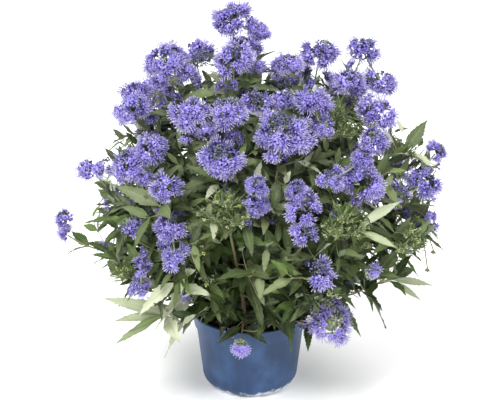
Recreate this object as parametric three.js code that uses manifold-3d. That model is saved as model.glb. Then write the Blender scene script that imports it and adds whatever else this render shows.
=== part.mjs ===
// A potted bluebeard (Caryopteris x clandonensis): a round nursery pot, the soil in it, leafy stems that
// stand in holes in the soil, and heads of violet-blue florets on the tips of the stems.
// Millimetres, +Z up. The origin is the centre of the pot's underside, which stands on the table.
// The plant's front is towards -Y and its right side towards +X.

import * as THREE from "three";
import { mergeVertices } from "three/addons/utils/BufferGeometryUtils.js";
import Module from "manifold-3d";

const wasm = await Module();
wasm.setup();

// Driving dimensions of the pot
const POT_HEIGHT = 120;
const RIM_RADIUS = 88;
const COLLAR_HEIGHT = 23;
const COLLAR_STEP = 6;
const COLLAR_TAPER = 3;
const EDGE_ROUNDING = 2;
const FOOT_RADIUS = 73;
const FOOT_ROUNDING = 20;
const WALL = 2.2;
const RIM_LIP = 3.5;
const FLOOR = 3;
const POT_SIDES = 24;
const FOOT_STEPS = 3;
const INNER_FOOT_STEPS = 2;
const DRAIN_HOLES = 5;
const DRAIN_RADIUS = 5;
const DRAIN_RING = 36;
const DRAIN_SIDES = 6;

// Gap that touching pieces keep
const GAP = 0.35;

// Soil: its top edge, how far it stays clear of the pot's rounded foot, and its mound as shares of its
// radius and of the mound's height
const SOIL_TOP = 102;
const SOIL_CROWN = 6;
const SOIL_LUMPS = 2;
const SOIL_SIDES = 12;
const SOIL_FOOT_INSET = 5;
const SOIL_MOUND = [{ out: 0.75, up: 0.4 }, { out: 0.4, up: 1 }, { out: 0, up: 1 }];

// Stems: the radius where each kind of path starts, how finely it is made, and its radius at the tip
const PATHS = {
  trunk: { radius: 3.2, sides: 4, steps: 6 },
  branch: { radius: 1.6, sides: 3, steps: 3 },
  shoot: { radius: 1.6, sides: 3, steps: 3 },
  twig: { radius: 1.5, sides: 3, steps: 1 },
};
const TIP_RADIUS = 1.5;
const FOOT_DEPTH = 24;
const CLEAR_OF_SOIL = 12;
const TRUNK_LEAN = 0.0022;
const TWIG_FROM = 0.75;
const CURVE_HOLD = 0.33;

// One tier of florets is a flat-bottomed dome. Its parts are shares of the tier's radius.
const TIER_CORE = 0.55;
const TIER_FLATNESS = 0.88;
const PETAL_INSET = 0.3;
const TIER_UNEVENNESS = 0.16;
const SMALL_TIER = 28.5;
const STALK_RADIUS = 2.5;
const STALK_SIDES = 3;
const STALK_FROM = 0.62;

// Heads face away from a point at this height on the pot's axis, the level part of it a little less
const HEAD_CENTRE = 40;
const HEAD_SPREAD = 0.9;

// Leaves: a kind's length, and its edge as points at shares of the length and of half the width
const LEAF_KINDS = {
  large: {
    length: 68,
    edge: [
      { along: 0.34, out: 1 },
      { along: 0.44, out: 0.74 },
      { along: 0.62, out: 0.86 },
    ],
  },
  small: { length: 50, edge: [{ along: 0.4, out: 1 }] },
};
const LEAF_MIDDLE = 0.5;
const LEAF_SLENDERNESS = 0.3;
const LEAF_THICKNESS = 1.3;
const LEAF_FOLD = 0.3;
const LEAF_ROOT = 0.7;
const LEAF_ROOM = 0.5;
const LEAF_LOWEST = 12;
const LEAF_SIZE_SPREAD = 0.14;
const LEAF_TURN_SPREAD = 0.5;
const LEAF_TILT = 1.05;
const LEAF_TILT_SPREAD = 0.2;
const LEAF_DROOP = 0.06;
const LEAF_DROOP_SPREAD = 0.16;
const FACE_OUT = 0.8;
const FACE_SPREAD = 0.4;

// Leaf pairs along each kind of path: the kind of leaf, and its place as the distance from the path's end
const LEAF_PAIRS = {
  trunk: [
    { kind: "large", before: 76 },
    { kind: "large", before: 160 },
  ],
  branch: [{ kind: "small", before: 36 }],
  shoot: [
    { kind: "large", before: 3 },
    { kind: "large", before: 42 },
  ],
  twig: [],
};
// Ways in which a leaf may be bent clear of its neighbours: a turn round the stem, a share of its length,
// a further droop and a further tilt away from the stem. The first that is clear is taken.
const LEAF_WAYS = [
  { turn: 0, size: 1, droop: 0, tilt: 0 },
  { turn: 0.6, size: 1, droop: 0.1, tilt: 0 },
  { turn: -0.6, size: 1, droop: 0, tilt: -0.2 },
  { turn: 0.3, size: 0.85, droop: 0.25, tilt: 0.3 },
  { turn: -0.9, size: 0.8, droop: 0.2, tilt: -0.1 },
  { turn: 1.2, size: 0.7, droop: 0.3, tilt: 0.2 },
];

// Where the seeds of each kind of draw start
const SEEDS = {
  soil: 7,
  spin: 99,
  buds: 700,
  heads: 1000,
  backSprays: 5000,
  backShoots: 6000,
  leaves: 100000,
};

// Finishes
const COLOURS = {
  pot: { color: "#4a6797", roughness: 0.55, metalness: 0 },
  soil: { color: "#2e211c", roughness: 0.95, metalness: 0 },
  stem: { color: "#5d7d45", roughness: 0.7, metalness: 0 },
  flower: { color: "#7468c8", roughness: 0.75, metalness: 0 },
};

// The plant as it stands, measured off the photo's front view. Each stem has the place of its foot in the
// soil, and its sprays of flowers in the order in which they leave it: the first is at the end of the
// trunk, the others leave the trunk at a share of its length. A tier is [x, y, z, radius], and the first
// tier of a spray is the one that the stem carries. Buds are green and grow on the stem itself.
const STEMS = [
  {
    name: "centre",
    foot: [-8, 12],
    sprays: [
      { tiers: [[-25, 45, 552, 29], [10, 40, 541, 17], [16, 33, 534, 14]] },
      { from: 0.55, tiers: [[-23, -83, 525, 28], [10, -78, 516, 13]] },
    ],
  },
  {
    name: "upper_left",
    foot: [-36, 2],
    sprays: [
      {
        tiers: [
          [-116, -32, 508, 33],
          [-68, -36, 516, 16],
          [-87, -48, 498, 17],
          [-123, -60, 489, 15],
        ],
      },
      { from: 0.5, tiers: [[-160, -38, 466, 24], [-160, -84, 458, 24]] },
    ],
    shoots: [{ from: 0.45, end: [-185, -30, 296] }],
  },
  {
    name: "upper_right",
    foot: [36, 8],
    sprays: [
      { tiers: [[98, -32, 522, 28], [52, -62, 514, 21]] },
      { from: 0.5, tiers: [[163, 28, 512, 26], [190, 18, 468, 25]] },
      { from: 0.65, tiers: [[136, -68, 492, 23], [154, -62, 471, 13]] },
    ],
    buds: [{ from: 0.6, places: [[116, -100, 457, 13], [131, -108, 437, 14], [106, -112, 432, 13]] }],
    shoots: [{ from: 0.5, end: [221, -40, 384] }],
  },
  {
    name: "front_left",
    foot: [-22, -28],
    sprays: [
      {
        tiers: [
          [-28, -147, 470, 26],
          [-78, -138, 466, 26],
          [-83, -140, 440, 13],
          [-56, -150, 445, 14],
        ],
      },
      { from: 0.55, tiers: [[-37, -183, 416, 29]] },
    ],
    shoots: [{ from: 0.4, end: [-120, -170, 348] }],
  },
  {
    name: "front",
    foot: [14, -34],
    sprays: [
      { tiers: [[42, -165, 444, 36], [10, -128, 478, 22], [45, -134, 485, 14]] },
      { from: 0.6, tiers: [[84, -128, 478, 24], [95, -148, 450, 15]] },
      { from: 0.5, tiers: [[10, -200, 360, 16], [8, -203, 386, 16]] },
    ],
  },
  {
    name: "left",
    foot: [-58, -20],
    sprays: [
      { tiers: [[-163, -137, 394, 27], [-132, -134, 416, 22], [-141, -146, 381, 12]] },
      { from: 0.45, tiers: [[-221, -83, 370, 24]] },
      { from: 0.25, tiers: [[-269, -36, 255, 14], [-270, -30, 277, 17]] },
      { from: 0.6, tiers: [[-112, -178, 374, 25]] },
    ],
    shoots: [{ from: 0.2, end: [-183, -40, 222] }],
  },
  {
    name: "lower_left",
    foot: [-44, -46],
    sprays: [
      { tiers: [[-104, -197, 327, 23], [-99, -207, 288, 21]] },
      { from: 0.5, tiers: [[-164, -163, 307, 27]] },
      { from: 0.35, tiers: [[-151, -168, 228, 16], [-146, -178, 262, 13]] },
    ],
    buds: [{ from: 0.35, places: [[-178, -140, 236, 13]] }],
    shoots: [{ from: 0.1, end: [-121, -120, 163] }, { from: 0.3, end: [-103, -160, 234] }],
  },
  {
    name: "front_middle",
    foot: [-6, -58],
    sprays: [{ from: 0.08, axis: [-0.1, -0.75, -0.65], tiers: [[-14, -128, 112, 17]] }],
    buds: [
      { places: [[-33, -204, 366, 14], [-48, -200, 348, 13], [-19, -208, 344, 13]] },
    ],
    shoots: [
      { from: 0.2, end: [-50, -120, 186] },
      { from: 0.2, end: [28, -125, 176] },
      { from: 0.4, end: [4, -182, 256] },
    ],
  },
  {
    name: "right_front",
    foot: [42, -36],
    sprays: [
      { tiers: [[151, -161, 378, 31], [150, -148, 405, 18], [106, -178, 386, 19]] },
      { from: 0.6, tiers: [[174, -95, 450, 29], [166, -130, 424, 20]] },
    ],
    buds: [
      { from: 0.6, places: [[128, -190, 340, 13], [112, -194, 324, 13], [142, -188, 320, 13]] },
    ],
    shoots: [{ from: 0.3, end: [108, -185, 272] }],
  },
  {
    name: "front_right",
    foot: [24, -58],
    sprays: [
      { tiers: [[74, -207, 319, 22], [70, -201, 349, 29], [61, -196, 378, 14]] },
      { from: 0.5, tiers: [[86, -214, 268, 29]] },
      { from: 0.12, tiers: [[114, -136, 158, 32], [106, -126, 184, 22]] },
    ],
    shoots: [{ from: 0.2, end: [160, -92, 190] }, { from: 0.25, end: [69, -150, 215] }],
  },
  {
    name: "right",
    foot: [60, -14],
    sprays: [
      { tiers: [[246, -69, 343, 30], [206, -109, 338, 19]] },
      { from: 0.6, tiers: [[271, -8, 372, 17]] },
      { from: 0.5, tiers: [[260, -51, 285, 18]] },
      { from: 0.4, tiers: [[172, -163, 253, 12]] },
    ],
    buds: [{ from: 0.5, places: [[226, -115, 284, 12], [214, -124, 270, 11], [236, -106, 268, 11]] }],
    shoots: [{ from: 0.2, end: [205, -55, 190] }, { from: 0.35, end: [238, -30, 262] }],
  },
];

// The side that the photo hides is laid out by a rule: rows of sprays round the back of the crown, each
// row with its height, its distance from the pot's axis, and the angles of its sprays from +X.
const BACK_ROWS = [
  { height: 478, reach: 120, radius: 29, from: 0.7, second: true, angles: [52, 92, 130] },
  { height: 425, reach: 190, radius: 30, from: 0.62, second: false, angles: [36, 70, 102, 136, 166] },
  { height: 325, reach: 222, radius: 27, from: 0.45, second: false, angles: [22, 58, 94, 130, 160] },
  { height: 235, reach: 205, radius: 22, from: 0.3, second: false, angles: [40, 112] },
];
const BACK_SHOOTS = [
  { height: 185, reach: 170, from: 0.15, angles: [18, 60, 88, 120, 162] },
  { height: 265, reach: 218, from: 0.3, angles: [50, 80, 140] },
];
const BACK_STEMS = [
  { name: "back_right", foot: [44, 36], from: 10, to: 66 },
  { name: "back", foot: [2, 54], from: 66, to: 115 },
  { name: "back_left", foot: [-42, 38], from: 115, to: 175 },
];
const BACK_SWING = 5;
const BACK_UNEVENNESS = 14;
// A second tier under the first: its radius, its drop and its step outwards as shares of the first's
// radius, and the most that it is turned aside
const BACK_SECOND = { size: 0.74, drop: 1.04, out: 0.65, turn: 0.12 };

// Seeded draws

// A number from 0 up to 1 that depends only on the whole numbers given.
function draw(...keys) {
  let h = 2166136261;
  for (const key of keys) {
    h = Math.imul(h ^ (key + 101), 16777619) >>> 0;
    h = Math.imul(h ^ (h >>> 13), 1540483477) >>> 0;
    h = (h ^ (h >>> 15)) >>> 0;
  }
  return h / 4294967296;
}

// The same, from -1 up to 1.
function swing(...keys) {
  return 2 * draw(...keys) - 1;
}

// Solids

function vec(x, y, z) {
  return new THREE.Vector3(x, y, z);
}

// A closed geometry's solid, its vertices merged.
function solid(geometry) {
  const bare = geometry.index ? geometry.toNonIndexed() : geometry.clone();
  bare.deleteAttribute("normal");
  bare.deleteAttribute("uv");
  const merged = mergeVertices(bare, 1e-4);
  return new wasm.Manifold(
    new wasm.Mesh({
      numProp: 3,
      vertProperties: new Float32Array(merged.attributes.position.array),
      triVerts: new Uint32Array(merged.index.array),
    }),
  );
}

// A geometry from points and the triangles between them.
function facets(points, triangles) {
  const corners = triangles.flatMap((t) => t.flatMap((i) => points[i].toArray()));
  return new THREE.BufferGeometry().setAttribute(
    "position",
    new THREE.BufferAttribute(new Float32Array(corners), 3),
  );
}

function joined(solids) {
  return solids.reduce((all, one) => all.add(one));
}

// The main body of a solid, with any sealed hollow filled and any loose scrap dropped.
function wholeBody(made) {
  return made.decompose().reduce((most, one) => (one.volume() > most.volume() ? one : most));
}

function geometryOf(made) {
  const mesh = made.getMesh();
  return new THREE.BufferGeometry()
    .setAttribute("position", new THREE.BufferAttribute(new Float32Array(mesh.vertProperties), 3))
    .setIndex(new THREE.BufferAttribute(new Uint32Array(mesh.triVerts), 1));
}

// Two directions square to the given one, the first of them level.
function crossDirections(along) {
  const level = vec(-along.y, along.x, 0);
  if (level.length() < 0.05) level.set(0, 1, 0);
  level.normalize();
  return [level, vec(0, 0, 0).crossVectors(along, level).normalize()];
}

// A stem through the given points, with a radius at each and closed ends, the last of them square to
// the given axis if there is one.
function tube(points, radii, sides, axis) {
  const tangents = points.map((p, i) =>
    vec(0, 0, 0)
      .subVectors(points[Math.min(i + 1, points.length - 1)], points[Math.max(i - 1, 0)])
      .normalize(),
  );
  const last = points.length - 1;
  if (axis) tangents[last].copy(axis);
  let [side] = crossDirections(tangents[0]);
  const corners = [];
  points.forEach((p, i) => {
    side = side.clone().addScaledVector(tangents[i], -side.dot(tangents[i])).normalize();
    const other = vec(0, 0, 0).crossVectors(tangents[i], side);
    for (let k = 0; k < sides; k++) {
      const angle = (2 * Math.PI * k) / sides;
      corners.push(
        p
          .clone()
          .addScaledVector(side, radii[i] * Math.cos(angle))
          .addScaledVector(other, radii[i] * Math.sin(angle)),
      );
    }
  });
  const triangles = [];
  for (let i = 0; i < last; i++)
    for (let k = 0; k < sides; k++) {
      const a = i * sides + k;
      const b = i * sides + ((k + 1) % sides);
      triangles.push([a, b, a + sides], [b, b + sides, a + sides]);
    }
  for (let k = 1; k < sides - 1; k++) {
    triangles.push([0, k + 1, k]);
    triangles.push([last * sides, last * sides + k, last * sides + k + 1]);
  }
  return solid(facets(corners, triangles));
}

// Pot

// The rounding from one angle to another round a point that is left of the foot's outermost line.
function footRounding(radius, from, to, steps) {
  return Array.from({ length: steps + 1 }, (_, i) => {
    const angle = from + ((to - from) * i) / steps;
    return new THREE.Vector2(
      FOOT_RADIUS - FOOT_ROUNDING + radius * Math.cos(angle),
      FOOT_ROUNDING + radius * Math.sin(angle),
    );
  });
}

// The outer radius of the tapered wall, which reaches from the rounded foot to the collar.
function wallRadius(z) {
  const share = (z - FOOT_ROUNDING) / (POT_HEIGHT - COLLAR_HEIGHT - FOOT_ROUNDING);
  return FOOT_RADIUS + (RIM_RADIUS - COLLAR_STEP - FOOT_RADIUS) * share;
}

function potSolid() {
  const collarFoot = POT_HEIGHT - COLLAR_HEIGHT;
  const inner = footRounding(FOOT_ROUNDING - WALL, 0, -Math.PI / 2, INNER_FOOT_STEPS);
  inner[INNER_FOOT_STEPS].y = FLOOR;
  const profile = [
    new THREE.Vector2(0, 0),
    ...footRounding(FOOT_ROUNDING, -Math.PI / 2, 0, FOOT_STEPS),
    new THREE.Vector2(wallRadius(collarFoot), collarFoot),
    new THREE.Vector2(RIM_RADIUS - COLLAR_TAPER, collarFoot + EDGE_ROUNDING),
    new THREE.Vector2(RIM_RADIUS, POT_HEIGHT - EDGE_ROUNDING),
    new THREE.Vector2(RIM_RADIUS - EDGE_ROUNDING / 2, POT_HEIGHT),
    new THREE.Vector2(RIM_RADIUS - RIM_LIP, POT_HEIGHT),
    new THREE.Vector2(wallRadius(collarFoot) - WALL, collarFoot),
    ...inner,
    new THREE.Vector2(0, FLOOR),
  ];
  let pot = solid(new THREE.LatheGeometry(profile, POT_SIDES).rotateX(Math.PI / 2));
  for (let i = 0; i < DRAIN_HOLES; i++) {
    const angle = (2 * Math.PI * (i + 0.5)) / DRAIN_HOLES;
    const hole = new THREE.CylinderGeometry(DRAIN_RADIUS, DRAIN_RADIUS, 4 * FLOOR, DRAIN_SIDES)
      .rotateX(Math.PI / 2)
      .translate(DRAIN_RING * Math.cos(angle), DRAIN_RING * Math.sin(angle), FLOOR / 2);
    pot = pot.subtract(solid(hole));
  }
  return pot;
}

// Soil: it follows the pot's inside with a gap, and its top is a low, lumpy mound.
function soilSolid(holes) {
  const flat = Math.cos(Math.PI / POT_SIDES);
  const edge = (wallRadius(SOIL_TOP) - WALL) * flat - GAP;
  const profile = [
    new THREE.Vector2(0, FLOOR + GAP),
    new THREE.Vector2(FOOT_RADIUS - FOOT_ROUNDING - GAP, FLOOR + GAP),
    new THREE.Vector2(FOOT_RADIUS - WALL - SOIL_FOOT_INSET, FOOT_ROUNDING),
    new THREE.Vector2(edge, SOIL_TOP),
    ...SOIL_MOUND.map(({ out, up }) => new THREE.Vector2(edge * out, SOIL_TOP + SOIL_CROWN * up)),
  ];
  const body = new THREE.LatheGeometry(profile, SOIL_SIDES).rotateX(Math.PI / 2);
  const at = body.attributes.position;
  for (let i = 0; i < at.count; i++) {
    const row = i % profile.length;
    const column = Math.floor(i / profile.length) % SOIL_SIDES;
    const onMound = row > profile.length - 1 - SOIL_MOUND.length && row < profile.length - 1;
    if (onMound) at.setZ(i, at.getZ(i) + SOIL_LUMPS * swing(SEEDS.soil, column, row));
  }
  return holes.reduce((soil, hole) => soil.subtract(hole), solid(body));
}

// Flower heads

// The directions of a 20-faced ball's corners, one of them straight up.
function ballCorners() {
  const z = 1 / Math.sqrt(5);
  const r = 2 / Math.sqrt(5);
  const ring = (height, turn) =>
    Array.from({ length: 5 }, (_, i) => {
      const angle = ((i + turn) * 2 * Math.PI) / 5;
      return vec(r * Math.cos(angle), r * Math.sin(angle), height);
    });
  return { top: vec(0, 0, 1), upper: ring(z, 0), lower: ring(-z, 0.5) };
}

// A tier's three-cornered cells, one floret in each, as indices into [top, upper ring, lower ring].
function tierCells() {
  const cells = [];
  for (let i = 0; i < 5; i++) {
    const upper = 1 + i;
    const nextUpper = 1 + ((i + 1) % 5);
    const lower = 6 + i;
    const nextLower = 6 + ((i + 1) % 5);
    cells.push([0, upper, nextUpper], [upper, lower, nextUpper], [lower, nextLower, nextUpper]);
  }
  return cells;
}

// The way a head faces: outwards from the pot's axis low on the crown, and up near its top.
function headAxis([x, y, z]) {
  return vec(HEAD_SPREAD * x, HEAD_SPREAD * y, z - HEAD_CENTRE).normalize();
}

// One tier of florets. In a large one each floret has two petals, in a small one it is a point.
function tierSolid([x, y, z, radius], axis, seed) {
  const { top, upper, lower } = ballCorners();
  const points = [top, ...upper, ...lower].map((p) => p.multiplyScalar(TIER_CORE));
  const triangles = [];
  tierCells().forEach((cell, n) => {
    const reach = 1 - TIER_UNEVENNESS * draw(seed, n);
    const first = Math.floor(3 * draw(seed, n, 1));
    const [i, j, k] = [0, 1, 2].map((step) => cell[(first + step) % 3]);
    const middle = points[i].clone().add(points[j]).add(points[k]).normalize();
    const petal = (towards) => {
      points.push(towards.normalize().lerp(middle, PETAL_INSET).normalize().multiplyScalar(reach));
      return points.length - 1;
    };
    if (radius < SMALL_TIER) {
      const tip = petal(middle.clone());
      triangles.push([i, j, tip], [j, k, tip], [k, i, tip]);
      return;
    }
    const one = petal(points[i].clone().add(points[j]));
    const other = petal(points[k].clone());
    triangles.push([i, j, one], [j, k, other], [k, i, other], [i, one, other], [one, j, other]);
  });
  triangles.push([10, 9, 8], [10, 8, 7], [10, 7, 6]);
  const turn = new THREE.Quaternion().setFromUnitVectors(vec(0, 0, 1), axis);
  const spin = 2 * Math.PI * draw(seed, SEEDS.spin);
  const placed = points.map((p) =>
    vec(p.x, p.y, p.z * TIER_FLATNESS)
      .applyAxisAngle(vec(0, 0, 1), spin)
      .multiplyScalar(radius)
      .applyQuaternion(turn)
      .add(vec(x, y, z)),
  );
  return solid(facets(placed, triangles));
}

// A spray: its tiers, with a short stalk between two that stand apart.
function spraySolid(spray, seed) {
  const axis = sprayAxis(spray);
  const tiers = spray.tiers.map((tier, i) => tierSolid(tier, axis, seed + i));
  const stalks = spray.tiers.slice(1).flatMap((tier, i) => {
    const ends = [spray.tiers[i], tier].map(([x, y, z]) => vec(x, y, z));
    const reach = STALK_FROM * (spray.tiers[i][3] + tier[3]);
    const apart = ends[0].distanceTo(ends[1]) > reach;
    return apart ? [tube(ends, [STALK_RADIUS, STALK_RADIUS], STALK_SIDES)] : [];
  });
  return wholeBody(joined([...tiers, ...stalks]));
}

function sprayAxis(spray) {
  return spray.axis ? vec(...spray.axis).normalize() : headAxis(spray.tiers[0]);
}

// Where a spray's stem ends, just under the middle of its first tier's flat underside, and which way it
// runs there.
function sprayEnd(spray) {
  const [x, y, z, radius] = spray.tiers[0];
  const axis = sprayAxis(spray);
  const underside = (TIER_CORE * TIER_FLATNESS * radius) / Math.sqrt(5);
  return { end: vec(x, y, z).addScaledVector(axis, -underside - GAP), axis };
}

// Stems

// The curve from a start and its direction to an end that is reached along the given axis.
function stemCurve(start, direction, end, axis) {
  const span = start.distanceTo(end);
  return new THREE.CubicBezierCurve3(
    start,
    start.clone().addScaledVector(direction, CURVE_HOLD * span),
    end.clone().addScaledVector(axis, -CURVE_HOLD * span),
    end,
  );
}

// All the paths of a stem: the trunk, a branch to each other spray and bunch of buds, a twig from a
// bunch's branch to each further bud cluster in it, and the leafy shoots.
function stemPaths(stem) {
  const bunches = [
    ...stem.sprays.map((spray) => ({ from: spray.from ?? 0, ends: [sprayEnd(spray)] })),
    ...(stem.buds ?? []).map((bunch) => ({ from: bunch.from ?? 0, ends: bunch.places.map(tipAt) })),
  ].sort((one, other) => one.from - other.from);
  const main = bunches[0].ends[0];
  const foot = vec(stem.foot[0], stem.foot[1], SOIL_TOP + CLEAR_OF_SOIL);
  const lean = vec(main.end.x - foot.x, main.end.y - foot.y, 0).multiplyScalar(TRUNK_LEAN);
  const rise = lean.add(vec(0, 0, 1)).normalize();
  const trunk = { curve: stemCurve(foot, rise, main.end, main.axis), axis: main.axis, kind: "trunk" };
  const branches = bunches.slice(1).map(({ from, ends }) => sidePath(trunk, "branch", from, ends[0]));
  const twigs = bunches.flatMap(({ ends }, n) =>
    ends.slice(1).map((end) => sidePath(n ? branches[n - 1] : trunk, "twig", TWIG_FROM, end)),
  );
  const shoots = (stem.shoots ?? []).map(({ from, end }) => sidePath(trunk, "shoot", from, tipAt(end)));
  return [trunk, ...branches, ...twigs, ...shoots];
}

// A path to the given tip that leaves its parent in the middle of the stretch at a share of its length.
function sidePath(parent, kind, from, { end, axis }) {
  const { steps } = PATHS[parent.kind];
  const n = Math.min(steps - 1, Math.floor(from * steps));
  const [before, after] = [n, n + 1].map((i) => parent.curve.getPoint(i / steps));
  const fork = before.clone().add(after).multiplyScalar(0.5);
  const way = after.sub(before).normalize().add(end.clone().sub(fork).normalize()).normalize();
  return { curve: stemCurve(fork, way, end, axis), axis, kind };
}

// The tip of a twig or shoot, which faces the way that a head there would.
function tipAt(place) {
  return { end: vec(...place.slice(0, 3)), axis: headAxis(place) };
}

// The points that a path's stem is made through. A trunk starts at its foot in the soil.
function pathPoints({ curve, kind }) {
  const points = curve.getPoints(PATHS[kind].steps);
  return kind === "trunk" ? [footEnd(curve, 0), ...points] : points;
}

function pathSolid(path) {
  const { sides, radius, steps } = PATHS[path.kind];
  const points = pathPoints(path);
  const radii = points.map((_, i) => radius + (TIP_RADIUS - radius) * Math.min(1, i / steps));
  return tube(points, radii, sides, path.axis);
}

function footEnd(trunk, deeper) {
  return trunk.getPoint(0).addScaledVector(trunk.getTangent(0), -FOOT_DEPTH - CLEAR_OF_SOIL - deeper);
}

// The hole that a trunk stands in, with a gap round it.
function holeSolid(stem) {
  const trunk = stemPaths(stem)[0].curve;
  const { radius, sides } = PATHS.trunk;
  const reach = (radius + GAP) / Math.cos(Math.PI / sides);
  return tube([footEnd(trunk, GAP), trunk.getPoint(0)], [reach, reach], sides);
}

// The green bunches of buds on a stem.
function budSolids(stem) {
  return (stem.buds ?? []).flatMap(({ places }) =>
    places.map((place, i) => tierSolid(place, headAxis(place), SEEDS.buds + Math.round(place[2]) + i)),
  );
}

// Leaves

// The place on a path at a distance before its end, and the way that it runs there.
function placeBefore(points, before) {
  let left = before;
  for (let i = points.length - 1; i > 0; i--) {
    const step = points[i].distanceTo(points[i - 1]);
    if (left < step) {
      const way = points[i].clone().sub(points[i - 1]).divideScalar(step);
      return { root: points[i].clone().addScaledVector(way, -left), way };
    }
    left -= step;
  }
  return null;
}

// The leaf at a place on a stem: where it is rooted, the way it grows, its level side and its sizes.
function leafAt(path, pair, side, way, seed) {
  const place = placeBefore(pathPoints(path), pair.before);
  if (!place || place.root.z < SOIL_TOP + CLEAR_OF_SOIL) return null;
  const [level, other] = crossDirections(place.way);
  const crossed = (pair.index % 2) * (Math.PI / 2) + side * Math.PI;
  const turn = crossed + LEAF_TURN_SPREAD * swing(seed, 1) + way.turn;
  const outward = level.multiplyScalar(Math.cos(turn)).addScaledVector(other, Math.sin(turn));
  const tilt = LEAF_TILT + LEAF_TILT_SPREAD * swing(seed, side, 2) + way.tilt;
  const along = place.way.multiplyScalar(Math.cos(tilt)).addScaledVector(outward, Math.sin(tilt));
  const size = LEAF_KINDS[pair.kind].length * (1 + LEAF_SIZE_SPREAD * swing(seed, side, 3)) * way.size;
  const across = vec(0, 0, 0).crossVectors(along, faceWay(place.root, seed, side)).normalize();
  const droop = LEAF_DROOP + LEAF_DROOP_SPREAD * draw(seed, side, 5) + way.droop;
  const root = place.root.addScaledVector(outward, LEAF_ROOT);
  return { kind: pair.kind, root, along, across, size, droop };
}

// The way that a leaf's upper face turns: up, out from the pot's axis, and a little at random.
function faceWay(root, seed, side) {
  const out = vec(root.x, root.y, 0).normalize().multiplyScalar(FACE_OUT);
  return out.add(vec(FACE_SPREAD * swing(seed, side, 6), FACE_SPREAD * swing(seed, side, 7), 1));
}

// A blade, folded along its midrib and arched down towards its tip. Both faces share its edge.
function bladeSolid({ kind, root, along, across, size, droop }, room) {
  const { edge } = LEAF_KINDS[kind];
  const halfWidth = (LEAF_SLENDERNESS * size) / 2 + room;
  const halfThickness = LEAF_THICKNESS / 2 + room;
  const place = (share, out, up) => {
    const tangent = along.clone().addScaledVector(vec(0, 0, 1), -2 * droop * share).normalize();
    const normal = vec(0, 0, 0).crossVectors(across, tangent);
    return root
      .clone()
      .addScaledVector(along, size * share)
      .addScaledVector(vec(0, 0, 1), -droop * share * share * size)
      .addScaledVector(across, out * halfWidth)
      .addScaledVector(normal, up + LEAF_FOLD * halfWidth * Math.abs(out));
  };
  // Points 0 and 1 are the root's upper and lower ends, 2 and 3 the midrib's, and 4 is the tip.
  const points = [0, LEAF_MIDDLE].flatMap((share) => [
    place(share, 0, halfThickness),
    place(share, 0, -halfThickness),
  ]);
  points.push(place(1 + room / size, 0, 0));
  const triangles = [];
  for (const way of [1, -1]) {
    const rim = edge.map(({ along: share, out }) => points.push(place(share, way * out, 0)) - 1);
    const half = [[0, 1, rim[0]]];
    for (const face of [0, 1]) {
      const fan = [face, ...rim, 4];
      for (let i = 1; i < fan.length; i++)
        half.push(face ? [2 + face, fan[i], fan[i - 1]] : [2 + face, fan[i - 1], fan[i]]);
    }
    triangles.push(...half.map((t) => (way > 0 ? t : t.reverse())));
  }
  return solid(facets(points, triangles));
}

// All the leaves of a stem that grow clear of other stems and of each other.
function clearLeaves(stem, s, others) {
  const leaves = [];
  stemPaths(stem).forEach((path, p) =>
    LEAF_PAIRS[path.kind].forEach((pair, index) => {
      const earlier = leaves.map((leaf) => boxed(leaf));
      for (const side of [0, 1])
        for (const way of LEAF_WAYS) {
          const seed = SEEDS.leaves + 1000 * s + 20 * p + index;
          const leaf = leafAt(path, { ...pair, index }, side, way, seed);
          if (!leaf || !isClear(bladeSolid(leaf, LEAF_ROOM), [...others, ...earlier])) continue;
          leaves.push(bladeSolid(leaf, 0));
          break;
        }
    }),
  );
  return leaves;
}

function isClear(made, others) {
  const box = made.boundingBox();
  if (box.min[2] < LEAF_LOWEST) return false;
  return others.every(
    (other) => !boxesMeet(box, other.box) || made.intersect(other.solid).volume() < 1e-6,
  );
}

function boxesMeet(a, b) {
  return [0, 1, 2].every((k) => a.min[k] < b.max[k] && b.min[k] < a.max[k]);
}

// The hidden side's stems, each with the sprays and shoots of its share of the back rows. The first
// spray is the highest one, and a spray lower down leaves the trunk lower.
function backStems() {
  return BACK_STEMS.map(({ name, foot, from, to }, s) => {
    const share = (rows, seed, make) =>
      rows.flatMap((row, r) =>
        row.angles
          .filter((angle) => angle >= from && angle < to)
          .map((angle, n) => make(row, angle, seed + 100 * r + 10 * s + n)),
      );
    const sprays = share(BACK_ROWS, SEEDS.backSprays, backSpray);
    delete sprays[0].from;
    return { name, foot, sprays, shoots: share(BACK_SHOOTS, SEEDS.backShoots, backShoot) };
  });
}

// A place on a back row, and its angle and distance from the axis.
function backPlace({ height, reach }, degrees, seed) {
  const angle = THREE.MathUtils.degToRad(degrees + BACK_SWING * swing(seed, 1));
  const out = reach + BACK_UNEVENNESS * swing(seed, 2);
  const up = height + BACK_UNEVENNESS * swing(seed, 3);
  return { angle, out, place: [out * Math.cos(angle), out * Math.sin(angle), up] };
}

function backShoot(row, degrees, seed) {
  return { from: row.from, end: backPlace(row, degrees, seed).place };
}

function backSpray(row, degrees, seed) {
  const { radius, from, second } = row;
  const { angle, out, place } = backPlace(row, degrees, seed);
  const turned = angle + BACK_SECOND.turn * swing(seed, 4);
  const further = out + BACK_SECOND.out * radius;
  const lower = [
    further * Math.cos(turned),
    further * Math.sin(turned),
    place[2] - BACK_SECOND.drop * radius,
    BACK_SECOND.size * radius,
  ];
  return { from, tiers: second ? [[...place, radius], lower] : [[...place, radius]] };
}

const ALL_STEMS = [...STEMS, ...backStems()];

const plant = new THREE.Group();

function addNode(name, made, finish) {
  const material = new THREE.MeshStandardMaterial(COLOURS[finish]);
  const mesh = new THREE.Mesh(geometryOf(made), material);
  mesh.name = name;
  plant.add(mesh);
}

function boxed(made, owner) {
  return { solid: made, box: made.boundingBox(), owner };
}

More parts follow.
